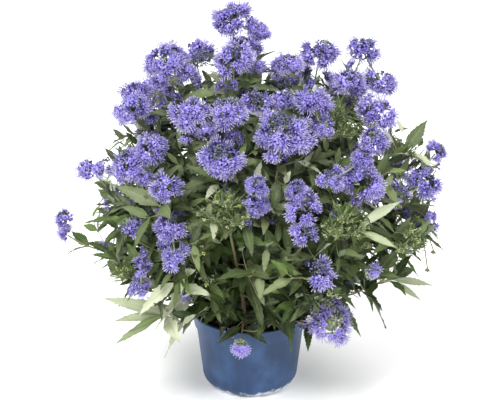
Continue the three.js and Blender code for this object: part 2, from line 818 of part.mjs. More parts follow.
const pot = potSolid();
const soil = soilSolid(ALL_STEMS.map(holeSolid));
addNode("pot", pot, "pot");
addNode("soil", soil, "soil");
const placed = [boxed(pot), boxed(soil)];
ALL_STEMS.forEach((stem, s) =>
  stem.sprays.forEach((spray, n) => {
    const head = spraySolid(spray, SEEDS.heads * (s + 1) + 10 * n);
    addNode(`head_${stem.name}_${n + 1}`, head, "flower");
    placed.push(boxed(head));
  }),
);
ALL_STEMS.forEach((stem) => {
  for (const path of stemPaths(stem)) placed.push(boxed(pathSolid(path), stem));
  for (const bud of budSolids(stem)) placed.push(boxed(bud, stem));
});
ALL_STEMS.forEach((stem, s) => {
  const others = placed.filter(({ owner }) => owner !== stem);
  const leaves = clearLeaves(stem, s, others);
  placed.push(...leaves.map((leaf) => boxed(leaf, stem)));
  const wood = stemPaths(stem).map(pathSolid);
  addNode(`stem_${stem.name}`, wholeBody(joined([...wood, ...budSolids(stem), ...leaves])), "stem");
});

export default plant;
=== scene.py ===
"""A potted bluebeard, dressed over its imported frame.

The plant is laid out by the same table, rules and seeded draws as its solids: leafy stems that stand in
the soil of a round nursery pot, and tiers of florets on their tips. Sizes in the tables are millimetres,
and everything that reaches Blender is in metres.
"""

import logging
import math
from collections import Counter
from dataclasses import dataclass, field
from enum import Enum, IntEnum

import bpy
import numpy as np
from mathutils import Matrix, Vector, kdtree


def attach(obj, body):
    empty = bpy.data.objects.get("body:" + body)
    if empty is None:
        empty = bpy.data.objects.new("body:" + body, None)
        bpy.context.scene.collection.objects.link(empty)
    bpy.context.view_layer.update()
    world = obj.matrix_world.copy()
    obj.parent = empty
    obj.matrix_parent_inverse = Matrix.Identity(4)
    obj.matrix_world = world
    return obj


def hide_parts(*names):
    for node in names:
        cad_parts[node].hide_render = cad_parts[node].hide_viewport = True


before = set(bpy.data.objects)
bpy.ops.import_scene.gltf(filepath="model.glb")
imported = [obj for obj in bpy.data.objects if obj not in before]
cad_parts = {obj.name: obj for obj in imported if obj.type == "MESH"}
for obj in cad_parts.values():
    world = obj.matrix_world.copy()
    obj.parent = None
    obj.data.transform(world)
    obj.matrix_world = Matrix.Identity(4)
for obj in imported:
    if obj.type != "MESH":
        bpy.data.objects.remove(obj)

logging.basicConfig(level=logging.INFO, format="%(message)s")
log = logging.getLogger("bluebeard")

Array = np.ndarray
Triple = tuple[float, float, float]
Piece = bpy.types.Object
Material = bpy.types.Material
Socket = bpy.types.NodeSocket

# A place on a stem, and the way that the stem runs there
Spot = tuple[Array, Array]

# How light a leaf is, and how far its green is that of young growth
Tints = tuple[float, float]

MM = 0.001
BODY = "root"


# Arrays, seeded draws and colours


def vec(x: float, y: float, z: float) -> Array:
    """A point or direction as an array."""
    return np.array([x, y, z], dtype=float)


UP = vec(0, 0, 1)
ORIGIN = vec(0, 0, 0)


def unit(v: Array) -> Array:
    """The direction of a vector, or of each row of vectors."""
    return v / np.linalg.norm(v, axis=-1, keepdims=True)


def ramp(value: float | Array, start: float, end: float) -> float | Array:
    """How far a value has come from start to end, from 0 to 1."""
    return np.clip((value - start) / (end - start), 0, 1)


def polar(out: float, angle: float, z: float) -> Triple:
    """A place at a distance and an angle round +Z."""
    return out * math.cos(angle), out * math.sin(angle), z


def draw(*keys: int) -> float:
    """A number from 0 up to 1 that depends only on the whole numbers given.

    Args:
        keys: the whole numbers that name the draw.

    Returns:
        The same number that the solids' own draw gives for them.
    """
    h = 2166136261
    for key in keys:
        h = ((h ^ (key + 101)) * 16777619) & 0xFFFFFFFF
        h = ((h ^ (h >> 13)) * 1540483477) & 0xFFFFFFFF
        h ^= h >> 15
    return h / 4294967296


def swing(*keys: int) -> float:
    """The same, from -1 up to 1."""
    return 2 * draw(*keys) - 1


def swings(columns: int, rows: range, *keys: int) -> Array:
    """A table of such numbers: each is named by the keys, its row and its column."""
    return np.array([[swing(*keys, row, column) for column in range(columns)] for row in rows])


def linear(colour: str) -> tuple[float, float, float, float]:
    """An sRGB hex colour as linear red, green, blue and alpha.

    Args:
        colour: the colour as a hash sign and six hex digits.

    Returns:
        The four numbers that a colour socket takes.
    """
    parts = [int(colour[i : i + 2], 16) / 255 for i in (1, 3, 5)]
    r, g, b = (c / 12.92 if c <= 0.04045 else ((c + 0.055) / 1.055) ** 2.4 for c in parts)
    return r, g, b, 1.0


# The plant's plan, in millimetres


class Stage(Enum):
    """How far the florets of a tier have come."""

    OPEN = "open"
    OPENING = "opening"
    CLOSED = "closed"
    FADED = "faded"


@dataclass(frozen=True)
class Tier:
    """One whorl of florets: its middle, its radius and how far it has come."""

    x: float
    y: float
    z: float
    radius: float
    stage: Stage = Stage.OPEN

    @property
    def middle(self) -> Array:
        """The tier's middle as an array."""
        return vec(self.x, self.y, self.z)


@dataclass(frozen=True)
class Spray:
    """The tiers at the end of one path, where that path leaves the trunk, and the way that they face."""

    tiers: tuple[Tier, ...]
    share: float = 0.0
    axis: Triple | None = None


@dataclass(frozen=True)
class Bunch:
    """Bud bunches on one branch, each a place and a radius, and the leaves that fan out of the last one."""

    places: tuple[tuple[float, float, float, float], ...]
    share: float = 0.0
    fan: tuple[Triple, ...] = ()


@dataclass(frozen=True)
class Shoot:
    """A leafy side shoot: its tip, where it leaves the trunk, whether it is pale, the leaves that fan out
    of its tip, and the radius of the tuft of buds there, if it has one."""

    end: Triple
    share: float
    pale: bool = False
    fan: tuple[Triple, ...] = ()
    tuft: float = 0.0


@dataclass(frozen=True)
class StemPlan:
    """One stem that comes out of the soil, with all that it carries. Danglers hang from its last shoot."""

    name: str
    foot: tuple[float, float]
    sprays: tuple[Spray, ...] = ()
    bunches: tuple[Bunch, ...] = ()
    shoots: tuple[Shoot, ...] = ()
    danglers: tuple[Triple, ...] = ()


OPENING, CLOSED, FADED = Stage.OPENING, Stage.CLOSED, Stage.FADED

STEMS = (
    StemPlan(
        "centre",
        (-8, 12),
        (
            Spray((Tier(-25, 45, 552, 29), Tier(10, 40, 541, 17, OPENING), Tier(16, 33, 534, 14))),
            Spray((Tier(-23, -83, 525, 28), Tier(10, -78, 516, 13)), 0.55),
        ),
    ),
    StemPlan(
        "upper_left",
        (-36, 2),
        (
            Spray(
                (
                    Tier(-116, -32, 508, 33),
                    Tier(-68, -36, 516, 16, CLOSED),
                    Tier(-87, -48, 498, 17),
                    Tier(-123, -60, 489, 15),
                )
            ),
            Spray((Tier(-160, -38, 466, 24), Tier(-160, -84, 458, 24)), 0.5),
        ),
        shoots=(Shoot((-185, -30, 296), 0.45),),
    ),
    StemPlan(
        "upper_right",
        (36, 8),
        (
            Spray((Tier(98, -32, 522, 28), Tier(52, -62, 514, 21, OPENING))),
            Spray((Tier(163, 28, 512, 26), Tier(190, 18, 468, 25)), 0.5),
            Spray((Tier(136, -68, 492, 23), Tier(154, -62, 471, 13)), 0.65),
        ),
        (Bunch(((116, -100, 457, 13), (131, -108, 437, 14), (106, -112, 432, 13)), 0.6),),
        (Shoot((221, -40, 384), 0.5, tuft=13),),
    ),
    StemPlan(
        "front_left",
        (-22, -28),
        (
            Spray(
                (
                    Tier(-28, -147, 470, 26),
                    Tier(-78, -138, 466, 26),
                    Tier(-83, -140, 440, 13),
                    Tier(-56, -150, 445, 14),
                )
            ),
            Spray((Tier(-37, -183, 416, 29),), 0.55),
        ),
        shoots=(Shoot((-120, -170, 348), 0.4),),
    ),
    StemPlan(
        "front",
        (14, -34),
        (
            Spray((Tier(42, -165, 444, 36), Tier(10, -128, 478, 22), Tier(45, -134, 485, 14))),
            Spray((Tier(84, -128, 478, 24), Tier(95, -148, 450, 15)), 0.6),
            Spray((Tier(10, -200, 360, 16), Tier(8, -203, 386, 16)), 0.5),
        ),
    ),
    StemPlan(
        "left",
        (-58, -20),
        (
            Spray((Tier(-163, -137, 394, 27), Tier(-132, -134, 416, 22), Tier(-141, -146, 381, 12))),
            Spray((Tier(-221, -83, 370, 24),), 0.45),
            Spray((Tier(-269, -36, 255, 14), Tier(-270, -30, 277, 17)), 0.25),
            Spray((Tier(-112, -178, 374, 25),), 0.6),
        ),
        shoots=(Shoot((-183, -40, 222), 0.2),),
    ),
    StemPlan(
        "lower_left",
        (-44, -46),
        (
            Spray((Tier(-104, -197, 327, 23), Tier(-99, -207, 288, 21))),
            Spray((Tier(-164, -163, 307, 27),), 0.5),
            Spray((Tier(-151, -168, 228, 16), Tier(-146, -178, 262, 13)), 0.35),
        ),
        (Bunch(((-178, -140, 236, 13),), 0.35),),
        (
            Shoot(
                (-121, -120, 163), 0.1, True, ((-86, -8, 44), (-72, -14, 8), (-74, -2, -34), (-48, -26, -4))
            ),
            Shoot((-103, -160, 234), 0.3, True),
        ),
    ),
    StemPlan(
        "front_middle",
        (-6, -58),
        (Spray((Tier(-14, -128, 112, 17, FADED),), 0.08, (-0.1, -0.75, -0.65)),),
        (Bunch(((-33, -204, 366, 14), (-48, -200, 348, 13), (-19, -208, 344, 13))),),
        (Shoot((-50, -120, 186), 0.2), Shoot((28, -125, 176), 0.2), Shoot((4, -182, 256), 0.4)),
    ),
    StemPlan(
        "right_front",
        (42, -36),
        (
            Spray((Tier(151, -161, 378, 31), Tier(150, -148, 405, 18), Tier(106, -178, 386, 19))),
            Spray((Tier(174, -95, 450, 29), Tier(166, -130, 424, 20)), 0.6),
        ),
        (
            Bunch(
                ((128, -190, 340, 13), (112, -194, 324, 13), (142, -188, 320, 13)),
                0.6,
                ((62, 34, 40), (56, -6, -16)),
            ),
        ),
        (Shoot((108, -185, 272), 0.3),),
    ),
    StemPlan(
        "front_right",
        (24, -58),
        (
            Spray((Tier(74, -207, 319, 22), Tier(70, -201, 349, 29), Tier(61, -196, 378, 14))),
            Spray((Tier(86, -214, 268, 29),), 0.5),
            Spray((Tier(114, -136, 158, 32, OPENING), Tier(106, -126, 184, 22, OPENING)), 0.12),
        ),
        shoots=(Shoot((160, -92, 190), 0.2), Shoot((69, -150, 215), 0.25)),
    ),
    StemPlan(
        "right",
        (60, -14),
        (
            Spray((Tier(246, -69, 343, 30), Tier(206, -109, 338, 19))),
            Spray((Tier(271, -8, 372, 17),), 0.6),
            Spray((Tier(260, -51, 285, 18, FADED),), 0.5),
            Spray((Tier(172, -163, 253, 12, FADED),), 0.4),
        ),
        (Bunch(((226, -115, 284, 12), (214, -124, 270, 11), (236, -106, 268, 11)), 0.5),),
        (Shoot((205, -55, 190), 0.2, fan=((62, -10, 4), (44, -22, -16))), Shoot((238, -30, 262), 0.35)),
        ((24, -6, -62), (34, 10, -40)),
    ),
)


@dataclass(frozen=True)
class BackRow:
    """A row of sprays or shoots round the hidden side: its height, reach, start and angles."""

    height: float
    reach: float
    share: float
    angles: tuple[float, ...]
    radius: float = 0.0
    second: bool = False


BACK_ROWS = (
    BackRow(478, 120, 0.7, (52, 92, 130), 29, True),
    BackRow(425, 190, 0.62, (36, 70, 102, 136, 166), 30),
    BackRow(325, 222, 0.45, (22, 58, 94, 130, 160), 27),
    BackRow(235, 205, 0.3, (40, 112), 22),
)
BACK_SHOOTS = (
    BackRow(185, 170, 0.15, (18, 60, 88, 120, 162)),
    BackRow(265, 218, 0.3, (50, 80, 140)),
)
BACK_STEMS = (
    ("back_right", (44, 36), 10, 66),
    ("back", (2, 54), 66, 115),
    ("back_left", (-42, 38), 115, 175),
)
BACK_SWING = 5
BACK_UNEVENNESS = 14
SECOND_SIZE, SECOND_DROP, SECOND_OUT, SECOND_TURN = 0.74, 1.04, 0.65, 0.12

SEED_HEADS, SEED_BACK_SPRAYS, SEED_BACK_SHOOTS, SEED_LEAVES = 1000, 5000, 6000, 100000
SEED_MORE_LEAVES, SEED_FLORETS, SEED_BUDS, SEED_TWIGS, SEED_SOIL = 300000, 400000, 500000, 600000, 7


def back_place(row: BackRow, degrees: float, seed: int) -> tuple[float, float, Triple]:
    """The angle, the distance from the axis and the place of one spray or shoot of a back row.

    Args:
        row: the back row that it belongs to.
        degrees: its angle in that row, before its swing.
        seed: the seed of its draws.

    Returns:
        The angle in radians, the distance and the place.
    """
    angle = math.radians(degrees + BACK_SWING * swing(seed, 1))
    out = row.reach + BACK_UNEVENNESS * swing(seed, 2)
    return angle, out, polar(out, angle, row.height + BACK_UNEVENNESS * swing(seed, 3))


def back_spray(row: BackRow, degrees: float, seed: int) -> Spray:
    """One spray of a back row, with a smaller second tier where the row has one.

    Args:
        row: the back row that it belongs to.
        degrees: its angle in that row, before its swing.
        seed: the seed of its draws.

    Returns:
        The spray, which leaves its trunk at the row's share.
    """
    angle, out, place = back_place(row, degrees, seed)
    tiers = [Tier(*place, row.radius)]
    if row.second:
        drop = place[2] - SECOND_DROP * row.radius
        lower = polar(out + SECOND_OUT * row.radius, angle + SECOND_TURN * swing(seed, 4), drop)
        tiers.append(Tier(*lower, SECOND_SIZE * row.radius))
    return Spray(tuple(tiers), row.share)


def back_stems() -> tuple[StemPlan, ...]:
    """The hidden side's stems, each with its share of the back rows.

    Returns:
        One plan for each stem of BACK_STEMS.
    """
    plans = []
    for s, (name, foot, low, high) in enumerate(BACK_STEMS):

        def shared(rows: tuple[BackRow, ...], seed: int) -> list[tuple[BackRow, float, int]]:
            """The rows' angles between the stem's two, each with its seed.

            Args:
                rows: the back rows to pick from.
                seed: the number that the seeds count from.

            Returns:
                A row, an angle in it and a seed for each.
            """
            return [
                (row, angle, seed + 100 * r + 10 * s + n)
                for r, row in enumerate(rows)
                for n, angle in enumerate(a for a in row.angles if low <= a < high)
            ]

        sprays = [back_spray(*item) for item in shared(BACK_ROWS, SEED_BACK_SPRAYS)]
        sprays[0] = Spray(sprays[0].tiers)
        shoots = [
            Shoot(back_place(row, angle, seed)[2], row.share)
            for row, angle, seed in shared(BACK_SHOOTS, SEED_BACK_SHOOTS)
        ]
        plans.append(StemPlan(name, foot, tuple(sprays), (), tuple(shoots)))
    return tuple(plans)


# Stems as curves, as the solids have them


class PathKind(Enum):
    """Kinds of path: the radius where one starts, and how many stretches its solid has."""

    TRUNK = (3.2, 6)
    BRANCH = (1.6, 3)
    SHOOT = (1.61, 3)
    TWIG = (1.5, 1)

    def __init__(self, radius: float, steps: int) -> None:
        """Notes both."""
        self.radius = radius
        self.steps = steps


TIP_RADIUS = 1.5
FOOT_DEPTH = 24
SOIL_TOP = 102
CLEAR_OF_SOIL = 12
TRUNK_LEAN = 0.0022
TWIG_FROM = 0.75
CURVE_HOLD = 0.33
GAP = 0.35
TIER_CORE, TIER_FLATNESS = 0.55, 0.88
HEAD_CENTRE, HEAD_SPREAD = 40, 0.9


def head_axis(place: tuple[float, ...] | Array) -> Array:
    """The way a head faces at a place."""
    return unit(vec(HEAD_SPREAD * place[0], HEAD_SPREAD * place[1], place[2] - HEAD_CENTRE))


def spray_axis(spray: Spray) -> Array:
    """The way a spray's tiers face."""
    return unit(vec(*spray.axis)) if spray.axis else head_axis(spray.tiers[0].middle)


def spray_end(spray: Spray) -> Spot:
    """Where a spray's stem ends, and which way it runs there.

    Args:
        spray: the spray at the end of that stem.

    Returns:
        The place, a gap below the first tier's core, and the spray's axis.
    """
    axis = spray_axis(spray)
    underside = TIER_CORE * TIER_FLATNESS * spray.tiers[0].radius / math.sqrt(5)
    return spray.tiers[0].middle - axis * (underside + GAP), axis


def length_of(points: Array) -> float:
    """The length of a path through points."""
    return float(np.linalg.norm(np.diff(points, axis=0), axis=1).sum())


@dataclass
class Path:
    """A stem's path: a cubic curve from its start to its end."""

    kind: PathKind
    corners: Array
    pale: bool = False

    @classmethod
    def between(cls, kind: PathKind, start: Array, way: Array, end: Spot, pale: bool = False) -> "Path":
        """A path that leaves its start one way and reaches its end along the end's own.

        Args:
            kind: what the path is in its stem.
            start: where it starts.
            way: which way it leaves its start.
            end: where it ends and which way it runs there.
            pale: whether its leaves are pale.

        Returns:
            The path, as one cubic curve.
        """
        place, axis = end
        span = CURVE_HOLD * np.linalg.norm(place - start)
        return cls(kind, np.array([start, start + way * span, place - axis * span, place]), pale)

    @classmethod
    def beside(cls, kind: PathKind, parent: "Path", share: float, end: Spot, pale: bool = False) -> "Path":
        """A path that leaves its parent in the middle of the stretch at a share of its length.

        Args:
            kind: what the path is in its stem.
            parent: the path that it leaves.
            share: the share of the parent's length that picks the stretch.
            end: where it ends and which way it runs there.
            pale: whether its leaves are pale.

        Returns:
            The path, as one cubic curve.
        """
        steps = parent.kind.steps
        n = min(steps - 1, math.floor(share * steps))
        before, after = parent.point(n / steps), parent.point((n + 1) / steps)
        fork = (before + after) / 2
        way = unit(unit(after - before) + unit(end[0] - fork))
        return cls.between(kind, fork, way, end, pale)

    def point(self, t: float | Array) -> Array:
        """The curve's point or points at the given shares.

        Args:
            t: one share of the curve, or several.

        Returns:
            The point, or the points, one a row.
        """
        t = np.asarray(t, dtype=float)[..., None]
        a, b, c, d = self.corners
        s = 1 - t
        return s**3 * a + 3 * s * s * t * b + 3 * s * t * t * c + t**3 * d

    def points(self, stretches: int) -> Array:
        """The points between equal stretches of the curve, after the foot of a trunk down in the soil.

        Args:
            stretches: how many stretches the curve is cut into.

        Returns:
            The points, one a row.
        """
        points = self.point(np.linspace(0, 1, stretches + 1))
        if self.kind is not PathKind.TRUNK:
            return points
        way = unit(self.corners[1] - self.corners[0])
        return np.vstack([self.corners[0] - way * (FOOT_DEPTH + CLEAR_OF_SOIL), points])

    def solid_points(self) -> Array:
        """The points that the solid's stem is made through."""
        return self.points(self.kind.steps)

    def fine_points(self, spacing: float = 9.0) -> Array:
        """Points close together along the curve."""
        length = length_of(self.point(np.linspace(0, 1, 12)))
        return self.points(max(3, round(length / spacing)))


def place_before(points: Array, before: float) -> Spot | None:
    """The spot on a path at a distance before its end, if it is as long as that.

    Args:
        points: the path's points, one a row.
        before: the distance back from its end.

    Returns:
        The place and the way along the path there, or None.
    """
    left = before
    for i in range(len(points) - 1, 0, -1):
        stretch = points[i] - points[i - 1]
        step = float(np.linalg.norm(stretch))
        if left < step:
            return points[i] - stretch / step * left, stretch / step
        left -= step
    return None


def stem_paths(plan: StemPlan) -> list[Path]:
    """All the paths of a stem: the trunk, its branches, their twigs and the leafy shoots.

    Args:
        plan: the stem's plan.

    Returns:
        The trunk, then the branches, the twigs and the shoots.
    """
    groups = [(spray.share, [spray_end(spray)]) for spray in plan.sprays]
    groups += [(bunch.share, [(vec(*p[:3]), head_axis(p)) for p in bunch.places]) for bunch in plan.bunches]
    groups.sort(key=lambda group: group[0])
    end = groups[0][1][0]
    start = vec(*plan.foot, SOIL_TOP + CLEAR_OF_SOIL)
    lean = (end[0] - start) * TRUNK_LEAN
    trunk = Path.between(PathKind.TRUNK, start, unit(vec(lean[0], lean[1], 1)), end)
    branches = [Path.beside(PathKind.BRANCH, trunk, share, ends[0]) for share, ends in groups[1:]]
    twigs = [
        Path.beside(PathKind.TWIG, parent, TWIG_FROM, more)
        for parent, (_, ends) in zip([trunk, *branches], groups)
        for more in ends[1:]
    ]
    shoots = [
        Path.beside(PathKind.SHOOT, trunk, shoot.share, (vec(*shoot.end), head_axis(shoot.end)), shoot.pale)
        for shoot in plan.shoots
    ]
    return [trunk, *branches, *twigs, *shoots]


# Meshes


@dataclass(frozen=True)
class Form:
    """A small form to repeat: points round +Z with their tones, and triangles with their finishes."""

    points: Array
    triangles: Array
    finishes: Array
    tones: Array


@dataclass
class Gathered:
    """The triangles of one piece as they're gathered, in millimetres.

    A point has a tone and a freshness, which its finish reads, and a place on its leaf. A triangle has
    a finish.
    """

    points: list[Array] = field(default_factory=list)
    triangles: list[Array] = field(default_factory=list)
    finishes: list[Array] = field(default_factory=list)
    tones: list[Array] = field(default_factory=list)
    fresh: list[Array] = field(default_factory=list)
    places: list[Array] = field(default_factory=list)
    count: int = 0

    def add(
        self,
        points: Array,
        triangles: Array,
        finish: int | Array,
        tone: float | Array = 0.5,
        place: Array | None = None,
        fresh: float = 0.0,
    ) -> None:
        """Adds a surface.

        Args:
            points: its points, one a row.
            triangles: its triangles as indices of those points, one a row.
            finish: the number of its finish, or one for each triangle.
            tone: its tone, or one for each point.
            place: each point's place along and across its leaf.
            fresh: how far its green is that of young growth.
        """
        n = len(points)
        self.points.append(points)
        self.triangles.append(triangles + self.count)
        self.finishes.append(np.broadcast_to(np.asarray(finish, dtype=np.int32), (len(triangles),)))
        self.tones.append(np.broadcast_to(np.asarray(tone, dtype=np.float32), (n,)))
        self.fresh.append(np.full(n, fresh, dtype=np.float32))
        self.places.append(np.zeros((n, 2)) if place is None else place)
        self.count += n

    def add_tube(
        self,
        points: Array | tuple[Array, ...],
        radii: Array | tuple[float, ...],
        sides: int,
        finish: int,
        tone: float | Array = 0.5,
        capped: bool = False,
    ) -> None:
        """Adds a tube.

        Args:
            points: the points of its path.
            radii: its radius at each of them.
            sides: how many sides it has.
            finish: the number of its finish.
            tone: its tone, or one for each point of its path.
            capped: whether its ends are closed.
        """
        triangles = capped_triangles(len(points), sides) if capped else ring_triangles(len(points), sides)
        tones = np.repeat(tone, sides) if np.ndim(tone) else tone
        self.add(rings_along(np.asarray(points), radii, sides), triangles, finish, tones)

    def add_copies(
        self, form: Form, places: Array, axes: Array, spins: Array, sizes: Array, shades: Array
    ) -> None:
        """Adds copies of a small form.

        Args:
            form: what is copied.
            places: where each copy's origin goes.
            axes: the way that each copy's +Z points.
            spins: each copy's turn round its axis.
            sizes: each copy's scale.
            shades: how much lighter than the form each copy is.
        """
        count, step = len(places), len(form.points)
        if not count:
            return
        triangles = (form.triangles[None] + (np.arange(count) * step)[:, None, None]).reshape(-1, 3)
        tones = np.clip(np.tile(form.tones, count) + np.repeat(shades, step), 0, 1)
        points = turned_copies(form.points, places, axes, spins, sizes)
        self.add(points, triangles, np.tile(form.finishes, count), tones)

    def form(self) -> Form:
        """What has been gathered, as a form to repeat."""
        parts = (self.points, self.triangles, self.finishes, self.tones)
        return Form(*(np.concatenate(part) for part in parts))

    def build(self, name: str, materials: list[Material]) -> Piece:
        """Makes the piece's object, smooth and with its finishes, in metres.

        Args:
            name: the piece's name.
            materials: its finishes, in the order of their numbers.

        Returns:
            The new object, linked to the scene.
        """
        points = np.vstack(self.points) * MM
        triangles = np.vstack(self.triangles).astype(np.int32)
        mesh = bpy.data.meshes.new(name)
        mesh.vertices.add(len(points))
        mesh.vertices.foreach_set("co", points.ravel())
        mesh.loops.add(triangles.size)
        mesh.loops.foreach_set("vertex_index", triangles.ravel())
        mesh.polygons.add(len(triangles))
        mesh.polygons.foreach_set("loop_start", np.arange(0, triangles.size, 3, dtype=np.int32))
        for material in materials:
            mesh.materials.append(material)
        mesh.polygons.foreach_set("material_index", np.concatenate(self.finishes))
        mesh.polygons.foreach_set("use_smooth", np.ones(len(triangles), dtype=bool))
        mesh.update(calc_edges=True)
        for label, values in (("tone", self.tones), ("fresh", self.fresh)):
            mesh.attributes.new(label, "FLOAT", "POINT").data.foreach_set("value", np.concatenate(values))
        layer = mesh.uv_layers.new(name="leaf")
        layer.data.foreach_set("uv", np.vstack(self.places)[triangles.ravel()].astype(np.float32).ravel())
        return linked(bpy.data.objects.new(name, mesh))


def linked(made: Piece) -> Piece:
    """A new object, once it is linked to the scene."""
    bpy.context.scene.collection.objects.link(made)
    return made


def settle(piece: Piece, node: str) -> Piece:
    """Makes a piece ride on the plant's body and stand for a CAD node, which it hides.

    Args:
        piece: the visible piece.
        node: the name of the CAD node.

    Returns:
        The same piece.
    """
    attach(piece, BODY)
    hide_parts(node)
    return piece


def grid_triangles(rows: int, columns: int, closed: bool = False) -> Array:
    """The triangles of a grid of points, row after row.

    Args:
        rows: how many rows of points there are.
        columns: how many points a row has.
        closed: whether each row closes into a ring.

    Returns:
        Index triples, one a row.
    """
    across = columns if closed else columns - 1
    r, c = np.meshgrid(np.arange(rows - 1), np.arange(across), indexing="ij")
    a = (r * columns + c).ravel()
    b = (r * columns + (c + 1) % columns).ravel()
    return np.vstack([np.column_stack([a, b, b + columns]), np.column_stack([a, b + columns, a + columns])])


def ring_triangles(rows: int, sides: int) -> Array:
    """The triangles of a tube of rings, open at its ends."""
    return grid_triangles(rows, sides, closed=True)


def capped_triangles(rows: int, sides: int) -> Array:
    """The triangles of a tube of rings, closed at its ends.

    Args:
        rows: how many rings the tube has.
        sides: how many points each ring has.

    Returns:
        The triangles as indices of the points, one a row.
    """
    last = (rows - 1) * sides
    first_end = [(0, k + 1, k) for k in range(1, sides - 1)]
    last_end = [(last, last + k, last + k + 1) for k in range(1, sides - 1)]
    return np.vstack([ring_triangles(rows, sides), first_end, last_end])


def ring(radius: float, height: float | list[float], sides: int) -> Array:
    """Points evenly round +Z, at one height or each at its own.

    Args:
        radius: the ring's radius.
        height: the height of all its points, or one for each.
        sides: how many points it has.

    Returns:
        The points, one a row.
    """
    angles = np.linspace(0, 2 * np.pi, sides, endpoint=False)
    heights = np.broadcast_to(height, sides)
    return np.column_stack([radius * np.cos(angles), radius * np.sin(angles), heights])


def rings_along(points: Array, radii: Array | tuple[float, ...], sides: int) -> Array:
    """The points of rings round a path, one ring for each of its points.

    Args:
        points: the path's points, one a row.
        radii: the ring's radius at each of them.
        sides: how many points each ring has.

    Returns:
        The points of ring after ring, one a row.
    """
    ways = unit(np.gradient(points, axis=0))
    side = vec(-ways[0][1], ways[0][0], 0.02)
    rings = []
    angles = np.linspace(0, 2 * np.pi, sides, endpoint=False)
    for point, way, radius in zip(points, ways, radii):
        side = unit(side - way * side.dot(way))
        other = np.cross(way, side)
        rings.append(point + radius * (np.outer(np.cos(angles), side) + np.outer(np.sin(angles), other)))
    return np.vstack(rings)


def spun(angle: float) -> Array:
    """A matrix that points multiply to turn round +Z by an angle."""
    cos, sin = math.cos(angle), math.sin(angle)
    return np.array([[cos, sin, 0], [-sin, cos, 0], [0, 0, 1]])


def square_to(way: Array, turn: float) -> Array:
    """The direction square to a stem's way, at a turn round it from the level one."""
    level = unit(vec(-way[1], way[0], 0.01))
    return level * math.cos(turn) + np.cross(way, level) * math.sin(turn)


def turned_copies(template: Array, places: Array, axes: Array, spins: Array, sizes: Array) -> Array:
    """Copies of a small form, each turned from +Z to its axis, spun, scaled and placed.

    Args:
        template: the form's points.
        places: where each copy's origin goes.
        axes: which way each copy's +Z points.
        spins: each copy's turn round its axis.
        sizes: each copy's scale.

    Returns:
        All copies' points, copy after copy.
    """
    helper = np.where(np.abs(axes[:, 2:3]) < 0.9, UP, vec(1, 0, 0))
    side = unit(np.cross(helper, axes))
    other = np.cross(axes, side)
    cos, sin = np.cos(spins)[:, None], np.sin(spins)[:, None]
    basis = np.stack([side * cos + other * sin, other * cos - side * sin, axes], axis=1)
    copies = np.einsum("pk,nkd->npd", template, basis * sizes[:, None, None])
    return (copies + places[:, None, :]).reshape(-1, 3)


def turned(points: Array, axis: Array, middle: Array = ORIGIN) -> Array:
    """Points round +Z, turned to be round an axis and moved to a middle."""
    return turned_copies(points, middle[None], axis[None], np.zeros(1), np.ones(1))


def sphere_spread(count: int, top: float, bottom: float) -> Array:
    """Directions spread evenly over a ball between two polar angles from +Z.

    Args:
        count: how many directions to give.
        top: the least polar angle, in radians.
        bottom: the greatest polar angle.

    Returns:
        One direction a row.
    """
    share = (np.arange(count) + 0.5) / count
    z = math.cos(top) + (math.cos(bottom) - math.cos(top)) * share
    ring_radius = np.sqrt(np.clip(1 - z * z, 0, 1))
    angle = np.arange(count) * math.pi * (3 - math.sqrt(5))
    return np.column_stack([ring_radius * np.cos(angle), ring_radius * np.sin(angle), z])


# Finishes


MIX_FACTOR, MIX_A, MIX_B, MIX_OUT = 0, 6, 7, 2


def fill(tree: bpy.types.NodeTree, node: bpy.types.Node, inputs: dict) -> None:
    """Sets a node's sockets, by name or number, each to a value or to another node's output.

    Args:
        tree: the material's node tree.
        node: the node whose sockets are set.
        inputs: the values and the outputs, by socket.
    """
    for key, value in inputs.items():
        if isinstance(value, Socket):
            tree.links.new(value, node.inputs[key])
        else:
            node.inputs[key].default_value = value


def add_node(
    tree: bpy.types.NodeTree, kind: str, settings: dict | None = None, inputs: dict | None = None
) -> bpy.types.Node:
    """Adds a node with its settings and links.

    Args:
        tree: the node tree that it is added to.
        kind: the node's type.
        settings: its own properties.
        inputs: what goes into its sockets, by name or number.

    Returns:
        The new node.
    """
    node = tree.nodes.new(kind)
    for name, value in (settings or {}).items():
        setattr(node, name, value)
    fill(tree, node, inputs or {})
    return node


@dataclass(frozen=True)
class Grain:
    """Noise of one grain: its scale, its detail, and the values between which it comes to show."""

    scale: float
    detail: float
    band: tuple[float, float] = (0.0, 1.0)


